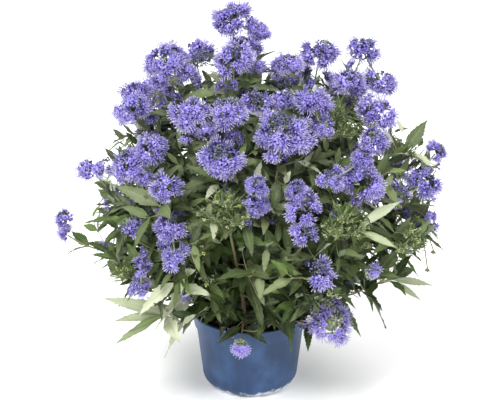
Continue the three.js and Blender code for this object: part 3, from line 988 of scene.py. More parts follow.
class MaterialMaker:
    """A material in the making, which starts as a principled shader and its output."""

    def __init__(self, name: str) -> None:
        """Starts a material.

        Args:
            name: the material's name.
        """
        self.material = bpy.data.materials.new(name)
        self.material.use_nodes = True
        self.tree = self.material.node_tree
        self.tree.nodes.clear()
        self.shader = add_node(self.tree, "ShaderNodeBsdfPrincipled")
        add_node(self.tree, "ShaderNodeOutputMaterial", inputs={"Surface": self.shader.outputs[0]})
        self.place = add_node(self.tree, "ShaderNodeTexCoord").outputs["Object"]

    def node(self, kind: str, inputs: dict | None = None, out: int | str = 0, **settings: object) -> Socket:
        """Adds a node and gives one of its outputs."""
        return add_node(self.tree, kind, settings, inputs).outputs[out]

    def attribute(self, name: str) -> Socket:
        """A number that the piece's points have."""
        return self.node("ShaderNodeAttribute", out="Fac", attribute_name=name)

    def maths(self, operation: str, *values: object) -> Socket:
        """The outcome of an operation on numbers and other nodes' outputs."""
        return self.node("ShaderNodeMath", dict(enumerate(values)), operation=operation)

    def axis(self, vector: Socket, name: str) -> Socket:
        """One coordinate of a vector."""
        return self.node("ShaderNodeSeparateXYZ", {0: vector}, name)

    def blend(self, factor: object, a: object, b: object) -> Socket:
        """The colour between two, each a hex colour or a node's output, at a factor.

        Args:
            factor: how far the blend is from the first to the second, as a number or an output.
            a: the first colour.
            b: the second colour.

        Returns:
            The blended colour.
        """
        one, other = (linear(c) if isinstance(c, str) else c for c in (a, b))
        inputs = {MIX_FACTOR: factor, MIX_A: one, MIX_B: other}
        return self.node("ShaderNodeMix", inputs, MIX_OUT, data_type="RGBA")

    def stretch(self, value: object, low: float, high: float) -> Socket:
        """A value's share of the way from low to high, smooth at both ends."""
        inputs = {"Value": value, "From Min": low, "From Max": high}
        return self.node("ShaderNodeMapRange", inputs, interpolation_type="SMOOTHSTEP")

    def noise(self, grain: Grain, place: Socket | None = None) -> Socket:
        """Noise of a grain over the piece, or over another vector.

        Args:
            grain: the scale and the detail of the noise.
            place: the other vector, if there is one.

        Returns:
            The noise, from 0 to 1.
        """
        vector = self.place if place is None else place
        inputs = {"Vector": vector, "Scale": grain.scale, "Detail": grain.detail}
        return self.node("ShaderNodeTexNoise", inputs, "Fac")

    def patches(self, grain: Grain, most: float) -> Socket:
        """Patches of a grain, which show up to a share.

        Args:
            grain: the noise, and the band of it over which the patches appear.
            most: the share up to which they show.

        Returns:
            How far they show.
        """
        low, high = grain.band
        inputs = {"Value": self.noise(grain), "From Min": low, "From Max": high, "To Max": most}
        return self.node("ShaderNodeMapRange", inputs)

    def bump(self, height: Socket, relief: tuple[float, float], sunk: bool = False) -> None:
        """Gives the surface a relief, raised or sunk, by its strength and its depth in millimetres."""
        inputs = {"Strength": relief[0], "Distance": relief[1] * MM, "Height": height}
        self.finished({"Normal": self.node("ShaderNodeBump", inputs, invert=sunk)})

    def finished(self, inputs: dict[str, object]) -> Material:
        """The material, once its shader's inputs are set."""
        fill(self.tree, self.shader, inputs)
        return self.material

    def matte(self, colour: Socket, roughness: float, specular: float, sheen: float = 0.0) -> Material:
        """The material, once it has a colour and a matte surface."""
        values = {"Roughness": roughness, "Specular IOR Level": specular, "Sheen Weight": sheen}
        return self.finished({"Base Color": colour, **values})


@dataclass(frozen=True)
class MouldedPolypropylene:
    """Blue polypropylene of a nursery pot, injection moulded and matte.

    Watering and handling leave it dusty in soft patches and streaks, and its lower edge is scuffed white.
    """

    colour: str = "#20416d"
    dust: str = "#3b5e8c"
    shade: str = "#1a375d"
    scuff: str = "#d5dbe6"
    patches: Grain = Grain(19, 5, (0.42, 0.8))
    streaks: Grain = Grain(1, 3, (0.35, 0.7))
    streak_shape: Triple = (60, 60, 9)
    scuffs: Grain = Grain(120, 6, (0.16, 0.27))
    scuff_heights: tuple[float, float] = (24, 4)
    grit: Grain = Grain(900, 2)
    relief: tuple[float, float] = (0.25, 0.2)
    roughness: float = 0.5
    ior: float = 1.49

    def make(self) -> Material:
        """Builds the material.

        Returns:
            The finished material.
        """
        make = MaterialMaker("moulded_polypropylene")
        patches = make.noise(self.patches)
        tall = make.node("ShaderNodeMapping", {"Vector": make.place, "Scale": self.streak_shape})
        streaks = make.stretch(make.noise(self.streaks, tall), *self.streaks.band)
        colour = make.blend(streaks, self.shade, self.colour)
        colour = make.blend(make.stretch(patches, *self.patches.band), colour, self.dust)
        top, full = self.scuff_heights
        low = make.stretch(make.axis(make.place, "Z"), top * MM, full * MM)
        worn = make.maths("MULTIPLY", make.maths("MULTIPLY", low, patches), make.noise(self.scuffs))
        colour = make.blend(make.stretch(worn, *self.scuffs.band), colour, self.scuff)
        make.bump(make.noise(self.grit), self.relief)
        return make.finished({"Base Color": colour, "Roughness": self.roughness, "IOR": self.ior})


@dataclass(frozen=True)
class MoistCompost:
    """Peat-based potting compost, dark while moist, in crumbs of a few millimetres."""

    dark: str = "#1f1611"
    light: str = "#4a382b"
    crumbs: Grain = Grain(1 / (3.0 * MM), 5, (0.4, 0.7))
    relief: tuple[float, float] = (0.8, 1.0)
    roughness: float = 0.95
    specular: float = 0.2

    def make(self) -> Material:
        """Builds the material.

        Returns:
            The finished material.
        """
        make = MaterialMaker("moist_compost")
        crumbs = make.noise(self.crumbs)
        colour = make.blend(make.stretch(crumbs, *self.crumbs.band), self.dark, self.light)
        make.bump(crumbs, self.relief)
        return make.matte(colour, self.roughness, self.specular)


@dataclass(frozen=True)
class ToneFinish:
    """A plant tissue whose colour runs from one to another with each point's tone.

    Fine down on all of a bluebeard's green parts scatters light at grazing angles, as a sheen does.
    """

    name: str
    low: str
    high: str
    patch: str
    patch_share: float = 0.35
    patch_mm: float = 4.0
    roughness: float = 0.6
    sheen: float = 0.2
    specular: float = 0.3

    def make(self) -> Material:
        """Builds the material.

        Returns:
            The finished material.
        """
        make = MaterialMaker(self.name)
        colour = make.blend(make.attribute("tone"), self.low, self.high)
        grain = Grain(1 / (self.patch_mm * MM), 2, (0.45, 0.75))
        colour = make.blend(make.patches(grain, self.patch_share), colour, self.patch)
        return make.matte(colour, self.roughness, self.specular, self.sheen)


@dataclass(frozen=True)
class LeafFinish:
    """One face of a bluebeard's leaf, with its midrib and slanting side veins.

    The upper face is soft grey-green, and bright green on young growth. The under face is felted with
    fine down, so it shows pale, and so is either face of a leaf with a high tone.
    """

    name: str
    dark: str
    light: str
    fresh_dark: str
    fresh_light: str
    felted: str
    vein: str
    vein_share: float
    roughness: float
    sheen: float
    specular: float = 0.3
    veins: float = 7.0
    slant: float = 2.2
    felted_tones: tuple[float, float] = (0.68, 0.98)
    mottle: Grain = Grain(260, 3, (0.4, 0.75))
    mottle_share: float = 0.14
    side_vein: tuple[float, float] = (0.28, 0.0)
    midrib: tuple[float, float] = (0.16, 0.02)
    relief: tuple[float, float] = (0.5, 0.3)

    def make(self) -> Material:
        """Builds the material.

        Returns:
            The finished material.
        """
        make = MaterialMaker(self.name)
        tone, fresh = make.attribute("tone"), make.attribute("fresh")
        young = make.blend(tone, self.fresh_dark, self.fresh_light)
        colour = make.blend(fresh, make.blend(tone, self.dark, self.light), young)
        colour = make.blend(make.stretch(tone, *self.felted_tones), colour, self.felted)
        colour = make.blend(make.patches(self.mottle, self.mottle_share), colour, self.vein)
        vein = self.vein_lines(make)
        colour = make.blend(make.maths("MULTIPLY", vein, self.vein_share), colour, self.vein)
        make.bump(vein, self.relief, sunk=True)
        return make.matte(colour, self.roughness, self.specular, self.sheen)

    def vein_lines(self, make: MaterialMaker) -> Socket:
        """Where the midrib and the side veins run, from 0 to 1.

        Args:
            make: the maker of the leaf's material.

        Returns:
            A value that is highest on the veins.
        """
        leaf = make.node("ShaderNodeUVMap", uv_map="leaf")
        side = make.maths("ABSOLUTE", make.axis(leaf, "Y"))
        slanted = make.maths("MULTIPLY_ADD", side, -self.slant / self.veins, make.axis(leaf, "X"))
        wave = make.maths("SINE", make.maths("MULTIPLY", slanted, self.veins * math.pi))
        side_vein = make.stretch(make.maths("ABSOLUTE", wave), *self.side_vein)
        return make.maths("MAXIMUM", side_vein, make.stretch(side, *self.midrib))


class Tissue(IntEnum):
    """The finishes of a leafy stem, by their number in its piece."""

    BARK = 0
    LEAF_TOP = 1
    LEAF_UNDER = 2
    GREEN_BUD = 3
    DRY = 4


class Bloom(IntEnum):
    """The finishes of a flower head, by their number in its piece."""

    PETAL = 0
    FILAMENT = 1
    ANTHER = 2
    CALYX = 3
    BUD = 4


STEM_FINISHES = (
    ToneFinish("stem_bark", "#745a48", "#94a163", "#59453a", roughness=0.7),
    LeafFinish(
        "leaf_upper_face", "#1d2916", "#828c64", "#172b08", "#6a8c2e", "#c9cfb2", "#8e986f", 0.3, 0.48, 0.05
    ),
    LeafFinish(
        "leaf_under_face", "#4f5f46", "#8c9b7c", "#4a5f31", "#82965a", "#ccd2b6", "#aab69a", 0.4, 0.8, 0.2
    ),
    ToneFinish("green_bud", "#616e40", "#ced893", "#99a667", patch_mm=1.5),
    ToneFinish("dry_leaf", "#4d3826", "#97724f", "#6e4f36", roughness=0.8, sheen=0.05),
)
# The calyx's low end is near black and the corolla's a deep violet: low tones at calyx feet, cores and
# florets' throats paint the shade between cymes
BLOOM_FINISHES = (
    ToneFinish("corolla", "#1f127c", "#b7a8ff", "#5342c0", patch_mm=3.0, roughness=0.55),
    ToneFinish("filament", "#7466da", "#e4dbff", "#bcb0fa", roughness=0.5),
    ToneFinish("anther", "#5b52ac", "#a59dde", "#857ccc", roughness=0.8),
    ToneFinish("calyx", "#151b1b", "#bcc8a4", "#4a5748", patch_mm=2.0, roughness=0.8),
    ToneFinish("closed_bud", "#15162c", "#8d8fbe", "#32345a", patch_mm=2.0, roughness=0.6),
)


# The pot and its soil


@dataclass
class NurseryPot:
    """The round blue pot: a flared collar over a tapered wall with a strongly rounded foot."""

    height: float = 120
    rim_radius: float = 88
    collar_height: float = 23
    collar_step: float = 6
    collar_taper: float = 3
    foot_radius: float = 73
    foot_rounding: float = 20
    wall: float = 2.2
    rim_lip: float = 3.5
    floor: float = 3
    drain_holes: int = 5
    drain_radius: float = 5
    drain_ring: float = 36
    drain_sides: int = 20
    sides: int = 96
    sharp_degrees: float = 38
    axis_gap: float = 0.01

    def wall_radius(self, z: float) -> float:
        """The outer radius of the tapered wall at a height."""
        share = (z - self.foot_rounding) / (self.height - self.collar_height - self.foot_rounding)
        return self.foot_radius + (self.rim_radius - self.collar_step - self.foot_radius) * share

    def rounding(self, radius: float, angles: Array) -> list[tuple[float, float]]:
        """Points of the foot's rounding at the given angles."""
        middle = self.foot_radius - self.foot_rounding
        return [(middle + radius * math.cos(a), self.foot_rounding + radius * math.sin(a)) for a in angles]

    def profile(self) -> Array:
        """The pot's section as distance from the axis and height, from the underside round to the inside.

        Returns:
            The section's points, one a row.
        """
        collar_foot = self.height - self.collar_height
        rim, foot = self.rim_radius, self.wall_radius(collar_foot)
        taper = rim - self.collar_taper
        outer = [
            *self.rounding(self.foot_rounding, np.linspace(-math.pi / 2, 0, 9)),
            (self.wall_radius(50), 50),
            (foot - 0.3, collar_foot - 2),
            (foot + 0.1, collar_foot - 0.4),
            (foot + 1, collar_foot),
            (taper - 1, collar_foot + 0.2),
            (taper, collar_foot + 1.6),
            (rim - 0.6, self.height - 4),
            (rim, self.height - 2.4),
            (rim, self.height - 1.2),
            (rim - 0.8, self.height - 0.2),
            (rim - 1.6, self.height),
        ]
        inner = [
            (rim - self.rim_lip + 0.6, self.height),
            (rim - self.rim_lip, self.height - 0.8),
            (foot - self.wall, collar_foot),
            *self.rounding(self.foot_rounding - self.wall, np.linspace(0, -math.pi / 2, 6)),
        ]
        inner[-1] = (inner[-1][0], self.floor)
        return np.array([(self.axis_gap, 0), *outer, *inner, (self.axis_gap, self.floor)])

    def build(self) -> Piece:
        """Makes the pot's shell, with its drainage holes cut through the floor.

        Returns:
            The pot's piece.
        """
        profile = self.profile()
        shell = Gathered()
        points = np.vstack([ring(radius, z, self.sides) for radius, z in profile])
        shell.add(points, capped_triangles(len(profile), self.sides), 0)
        pot = shell.build("pot_shell", [MouldedPolypropylene().make()])
        cutters = [self.drill(i) for i in range(self.drain_holes)]
        for cutter in cutters:
            cut = pot.modifiers.new("drain", "BOOLEAN")
            cut.operation, cut.object, cut.solver = "DIFFERENCE", cutter, "EXACT"
        ready = pot.evaluated_get(bpy.context.evaluated_depsgraph_get())
        pot.data = bpy.data.meshes.new_from_object(ready)
        pot.modifiers.clear()
        for cutter in cutters:
            bpy.data.objects.remove(cutter)
        pot.data.polygons.foreach_set("use_smooth", np.ones(len(pot.data.polygons), dtype=bool))
        pot.data.set_sharp_from_angle(angle=math.radians(self.sharp_degrees))
        return settle(pot, "pot")

    def drill(self, index: int) -> Piece:
        """A rod that stands where one drainage hole goes.

        Args:
            index: the number of the hole.

        Returns:
            The rod, which is cut out of the shell.
        """
        angle = 2 * math.pi * (index + 0.5) / self.drain_holes
        ends = [vec(*polar(self.drain_ring, angle, z)) for z in (-2, 2 * self.floor)]
        rod = Gathered()
        rod.add_tube(ends, (self.drain_radius, self.drain_radius), self.drain_sides, 0, capped=True)
        return rod.build(f"drill_{index}", [])


@dataclass
class PottingSoil:
    """Moist compost that fills the pot to just under its collar, with loose crumbs on its low mound."""

    pot: NurseryPot
    top: float = 102
    crown: float = 6
    lumps: float = 1.6
    flat_share: float = 0.35
    even_edge: float = 0.97
    slope_power: float = 1.6
    gap: float = 0.6
    floor_gap: float = 0.4
    foot_height: float = 20
    foot_inset: float = 7
    crumbs: int = 520
    crumb_size: float = 0.8
    crumb_more: float = 2.2
    rings: int = 22
    sides: int = 64

    def height(self, share: float, key: int) -> float:
        """The mound's height at a share of its radius."""
        rise = self.crown * (1 - ramp(share, self.flat_share, 1) ** self.slope_power)
        return self.top + rise + self.lumps * swing(SEED_SOIL, key) * (share < self.even_edge)

    def build(self) -> Piece:
        """Makes the soil.

        Returns:
            The soil's piece.
        """
        pot = self.pot
        edge = pot.wall_radius(self.top) - pot.wall - self.gap
        base = pot.floor + self.floor_gap
        rows = ((pot.axis_gap, base), (pot.foot_radius - pot.foot_rounding, base))
        rows = (*rows, (pot.foot_radius - self.foot_inset, self.foot_height))
        points = [ring(radius, z, self.sides) for radius, z in rows]
        for row in range(self.rings):
            share = 1 - row / (self.rings - 1) * 0.998
            heights = [self.height(share, 100 * row + k) for k in range(self.sides)]
            points.append(ring(edge * share, heights, self.sides))
        soil = Gathered()
        soil.add(np.vstack(points), ring_triangles(len(points), self.sides), 0)
        self.add_crumbs(soil, edge)
        return settle(soil.build("potting_soil", [MoistCompost().make()]), "soil")

    def add_crumbs(self, soil: Gathered, edge: float) -> None:
        """Scatters crumbs of compost and bark over the mound.

        Args:
            soil: what the crumbs are added to.
            edge: the distance of the mound's edge from the axis.
        """
        corners = np.repeat(np.eye(3), 2, axis=0) * np.tile([1, -1], 3)[:, None]
        edges = ((0, 2), (2, 1), (1, 3), (3, 0))
        faces = np.array([(a, b, 4) for a, b in edges] + [(b, a, 5) for a, b in edges])
        for i in range(self.crumbs):
            far, around, large, long, turn = (draw(SEED_SOIL, key, i) for key in range(1, 6))
            share = math.sqrt(far) * 0.95
            size = self.crumb_size + self.crumb_more * large**2
            shape = corners * vec(size * (1 + long), size, size * 0.7) @ spun(math.pi * turn)
            place = polar(edge * share, 2 * math.pi * around, self.height(share, 999) + 0.2 * size)
            soil.add(shape + vec(*place), faces, 0)


# Leaves


LEAF_SLENDERNESS = 0.3
LEAF_FOLD = 0.3
LEAF_ROOT = 0.7
LEAF_SIZE_SPREAD = 0.14
LEAF_TURN_SPREAD = 0.5
LEAF_TILT, LEAF_TILT_SPREAD = 1.05, 0.2
LEAF_DROOP, LEAF_DROOP_SPREAD = 0.06, 0.16
LEAF_CURL, LEAF_WAVE, LEAF_WAVES = 0.05, 0.018, 17
LEAF_FACES_GAP = 0.08
SAME_PLACE = 0.3
RIB_TONE = 0.1
FACE_OUT, FACE_SPREAD = 0.8, 0.4
LEAF_LENGTHS = {"large": 68.0, "small": 50.0}
LEAF_PAIRS = {
    PathKind.TRUNK: (("large", 76.0), ("large", 160.0)),
    PathKind.BRANCH: (("small", 36.0),),
    PathKind.SHOOT: (("large", 3.0), ("large", 42.0)),
    PathKind.TWIG: (),
}


@dataclass(frozen=True)
class LeafWay:
    """A way in which a leaf may be bent clear of its neighbours."""

    turn: float = 0.0
    size: float = 1.0
    droop: float = 0.0
    tilt: float = 0.0


LEAF_WAYS = (
    LeafWay(),
    LeafWay(0.6, 1, 0.1, 0),
    LeafWay(-0.6, 1, 0, -0.2),
    LeafWay(0.3, 0.85, 0.25, 0.3),
    LeafWay(-0.9, 0.8, 0.2, -0.1),
    LeafWay(1.2, 0.7, 0.3, 0.2),
)


@dataclass
class Leaf:
    """A leaf: its root, the way it grows, its level side, its length, its droop and how slender it is."""

    root: Array
    along: Array
    across: Array
    size: float
    droop: float
    slender: float = 1.0

    @classmethod
    def at(cls, spot: Spot, length: float, crossed: float, side: int, bend: LeafWay, seed: int) -> "Leaf":
        """The leaf at a spot on a stem.

        Args:
            spot: where it grows.
            length: the leaf's usual length.
            crossed: the pair's turn round the stem.
            side: 0 or 1, for the two leaves of a pair.
            bend: how it is bent clear of its neighbours.
            seed: the number that names its draws.

        Returns:
            The leaf.
        """
        root, way = spot
        level = vec(-way[1], way[0], 0)
        level = unit(level if np.linalg.norm(level) >= 0.05 else vec(0, 1, 0))
        other = unit(np.cross(way, level))
        turn = crossed + side * math.pi + LEAF_TURN_SPREAD * swing(seed, 1) + bend.turn
        outward = level * math.cos(turn) + other * math.sin(turn)
        tilt = LEAF_TILT + LEAF_TILT_SPREAD * swing(seed, side, 2) + bend.tilt
        along = way * math.cos(tilt) + outward * math.sin(tilt)
        size = length * (1 + LEAF_SIZE_SPREAD * swing(seed, side, 3)) * bend.size
        face = unit(vec(root[0], root[1], 0)) * FACE_OUT
        face = face + vec(FACE_SPREAD * swing(seed, side, 6), FACE_SPREAD * swing(seed, side, 7), 1)
        droop = LEAF_DROOP + LEAF_DROOP_SPREAD * draw(seed, side, 5) + bend.droop
        return cls(root + outward * LEAF_ROOT, along, unit(np.cross(along, face)), size, droop)

    def centre(self, share: Array | float) -> Array:
        """Points of the midrib at shares of the length."""
        share = np.asarray(share, dtype=float)[..., None]
        return self.root + self.along * (self.size * share) - UP * (self.droop * self.size * share**2)

    def place(self, share: Array, out: Array, up: Array) -> Array:
        """Points of the blade at shares of the length and of half the width, and heights over it.

        Args:
            share: each point's share of the length.
            out: each point's share of half the width, below 0 on one side.
            up: each point's height over the folded blade.

        Returns:
            The points, one a row.
        """
        half_width = LEAF_SLENDERNESS * self.slender * self.size / 2
        tangent = unit(self.along - UP * (2 * self.droop * share[:, None]))
        normal = np.cross(self.across, tangent)
        fold = up + LEAF_FOLD * half_width * np.abs(out)
        return self.centre(share) + self.across * (out * half_width)[:, None] + normal * fold[:, None]


FIVE_ACROSS, THREE_ACROSS = (-1.0, -0.5, 0.0, 0.5, 1.0), (-1.0, 0.0, 1.0)


@dataclass(frozen=True)
class BladeShape:
    """The edge of a leaf as half widths along it, and the shares of the width at which points go across."""

    stations: tuple[float, ...]
    widths: tuple[float, ...]
    columns: tuple[float, ...] = THREE_ACROSS
    thickness: float = 0.5

    def add_to(
        self, piece: Gathered, leaf: Leaf, tints: Tints, seed: int, upper: Tissue = Tissue.LEAF_TOP
    ) -> None:
        """Adds a leaf's upper and under faces to a piece.

        Args:
            piece: what the leaf is added to.
            leaf: where it grows and how large it is.
            tints: its tone and its freshness, from 0 to 1.
            seed: the number that names its draws.
            upper: the finish of its upper face.
        """
        rows, columns = len(self.stations), len(self.columns)
        share = np.repeat(self.stations, columns)
        side = np.tile(self.columns, rows)
        out = np.repeat(self.widths, columns) * side
        curl = LEAF_CURL * leaf.size * swing(seed, 11)
        wave = np.sin(share * LEAF_WAVES + 6 * draw(seed, 12) + 1.5 * side)
        bend = curl * np.sin(share * math.pi) * side + LEAF_WAVE * leaf.size * wave * side**2
        half = self.thickness / 2 * (1 - side**2)
        triangles = grid_triangles(rows, columns)
        place = np.column_stack([share, side])
        tone, fresh = tints
        shade = tone + RIB_TONE * (0.5 - np.abs(side)) * (1 - share)
        under = Tissue.LEAF_UNDER if upper is Tissue.LEAF_TOP else upper
        piece.add(leaf.place(share, out, bend + half), triangles, upper, shade, place, fresh)
        lower = leaf.place(share, out, bend - half - LEAF_FACES_GAP)
        piece.add(lower, triangles[:, ::-1], under, shade, place, fresh)


BLADE_STATIONS = (0, 0.06, 0.15, 0.26, 0.36, 0.39, 0.48, 0.505, 0.58, 0.605, 0.69, 0.715, 0.8, 0.825, 1)
BLADE_WIDTHS = (0.1, 0.1, 0.42, 0.8, 1.0, 0.86, 0.98, 0.79, 0.85, 0.65, 0.68, 0.49, 0.48, 0.33, 0.02)
FAN_WIDTHS = (0.1, 0.1, 0.3, 0.62, 0.9, 0.93, 1.0, 0.93, 0.96, 0.84, 0.84, 0.68, 0.62, 0.42, 0.02)
BROAD_BLADE = BladeShape(BLADE_STATIONS, BLADE_WIDTHS, FIVE_ACROSS)
FAN_BLADE = BladeShape(BLADE_STATIONS, FAN_WIDTHS, FIVE_ACROSS)
TOOTHED_BLADE = BladeShape(
    (0, 0.08, 0.2, 0.36, 0.4, 0.52, 0.56, 0.68, 0.72, 0.83, 1),
    (0.1, 0.14, 0.62, 1.0, 0.87, 0.95, 0.75, 0.74, 0.54, 0.46, 0.02),
)
INNER_BLADE = BladeShape((0, 0.14, 0.4, 0.48, 0.7, 0.76, 1), (0.1, 0.42, 1.0, 0.87, 0.72, 0.52, 0.02))
BRACT_BLADE = BladeShape((0, 0.3, 0.6, 1), (0.2, 0.42, 0.38, 0.03))


# Leafy stems


HEART = vec(0, 0, 280)
TO_CAMERA = unit(vec(0, -0.94, 0.34))
# How deep in the crown a leaf is painted darker, as painted shade, and the heights over which tones rise
INNER_SHADE_REACHES, RISE_HEIGHTS = (230, 70), (150, 350)
PALE_TONE, PALE_TONE_SPREAD, PALE_FRESH = 0.86, 0.12, 0.6
# Tones rise with height: low leaves are painted darker and high ones lighter, as painted shade and painted
# light
SILVER_TONE, SILVER_PAINTED_LIGHT_RISE, SILVER_TONE_SPREAD, SILVER_FRESH = 0.56, 0.28, 0.1, 0.2
GREEN_TONE, GREEN_PAINTED_LIGHT_RISE, GREEN_TONE_SPREAD, GREEN_SPREAD_RISE, INNER_PAINTED_SHADE = 0.22, 0.23, 0.24, 0.1, 0.17
MOST_GREEN_TONE = 0.68
LOW_FRESH, FRESH_FALL, FRESH_SPREAD = 0.95, 0.7, 0.35
FAN_TONE, FAN_TONE_FALL, FAN_FRESH, FAN_FACE = 0.88, 0.05, 0.5, vec(-0.3, -0.9, 0.6)


@dataclass
class Crown:
    """The crown as a whole: its outline, what leaves keep clear of, and how many there are in each cell."""

    tiers: list[Tier]
    pot: NurseryPot
    bare_wood: Array
    tier_share: float = 0.9
    heights: tuple[float, ...] = (100, 140, 170, 200, 230, 260, 320, 378, 438, 480, 510)
    reaches: tuple[float, ...] = (105, 140, 165, 195, 222, 240, 232, 196, 162, 122, 70)
    right_more: tuple[float, ...] = (0, 0, 0, 5, 15, 25, 35, 48, 24, 0, 0)
    bare_margin: float = 7.5
    rim_margin: float = 6.0
    skirt_rise: float = 0.42
    pale_skirt_rise: float = -0.25
    cell: float = 44.0
    leaves: Counter = field(default_factory=Counter)

    def __post_init__(self) -> None:
        """Notes the tiers' middles and radii as arrays."""
        self.middles = np.array([tier.middle for tier in self.tiers])
        self.radii = np.array([tier.radius for tier in self.tiers])

    def clearance(self, point: Array, share: float = 1.0) -> float:
        """How far a point is outside the nearest tier, or outside a share of its radius."""
        return float((np.linalg.norm(self.middles - point, axis=1) - share * self.radii).min())

    def is_clear(self, leaf: Leaf, pale: bool) -> bool:
        """Whether a leaf stays off the tiers, the pot and the bare wood, and above the skirt.

        Args:
            leaf: the leaf, with its place and its size.
            pale: whether it is one of the pale leaves.

        Returns:
            Whether the leaf can stay.
        """
        rise = self.pale_skirt_rise if pale else self.skirt_rise
        for point in leaf.centre(np.array([0.45, 0.75, 1.0])):
            out = math.hypot(point[0], point[1]) - self.pot.rim_radius
            low = point[2] < self.pot.height + self.rim_margin + rise * max(0.0, out)
            if low or self.clearance(point, self.tier_share) < 0 or self.hides_wood(point):
                return False
        return True

    def hides_wood(self, point: Array) -> bool:
        """Whether a point is before the wood that shows bare from the front.

        Args:
            point: the place in question.

        Returns:
            Whether something there would hide the wood.
        """
        away = point - self.bare_wood
        before = away @ TO_CAMERA
        beside = np.linalg.norm(away - before[:, None] * TO_CAMERA, axis=1)
        return bool(((before > 3) & (beside < self.bare_margin)).any())

    def holds(self, point: Array, slack: float = 0.0) -> bool:
        """Whether a point is inside the crown's outline, or within some slack of it.

        Args:
            point: the place in question.
            slack: how far out of the outline still counts as inside.

        Returns:
            Whether it counts as inside.
        """
        out = math.hypot(point[0], point[1])
        reach = float(np.interp(point[2], self.heights, self.reaches, left=0, right=0))
        more = float(np.interp(point[2], self.heights, self.right_more))
        return out < reach + more * max(0.0, point[0] / (out + 1)) ** 2 + slack

    def key(self, point: Array) -> tuple[int, ...]:
        """The cell of the crown that a point is in."""
        return tuple(int(math.floor(v / self.cell)) for v in point)

    def count(self, leaf: Leaf) -> None:
        """Notes a leaf in the cell of its middle."""
        self.leaves[self.key(leaf.centre(0.5))] += 1


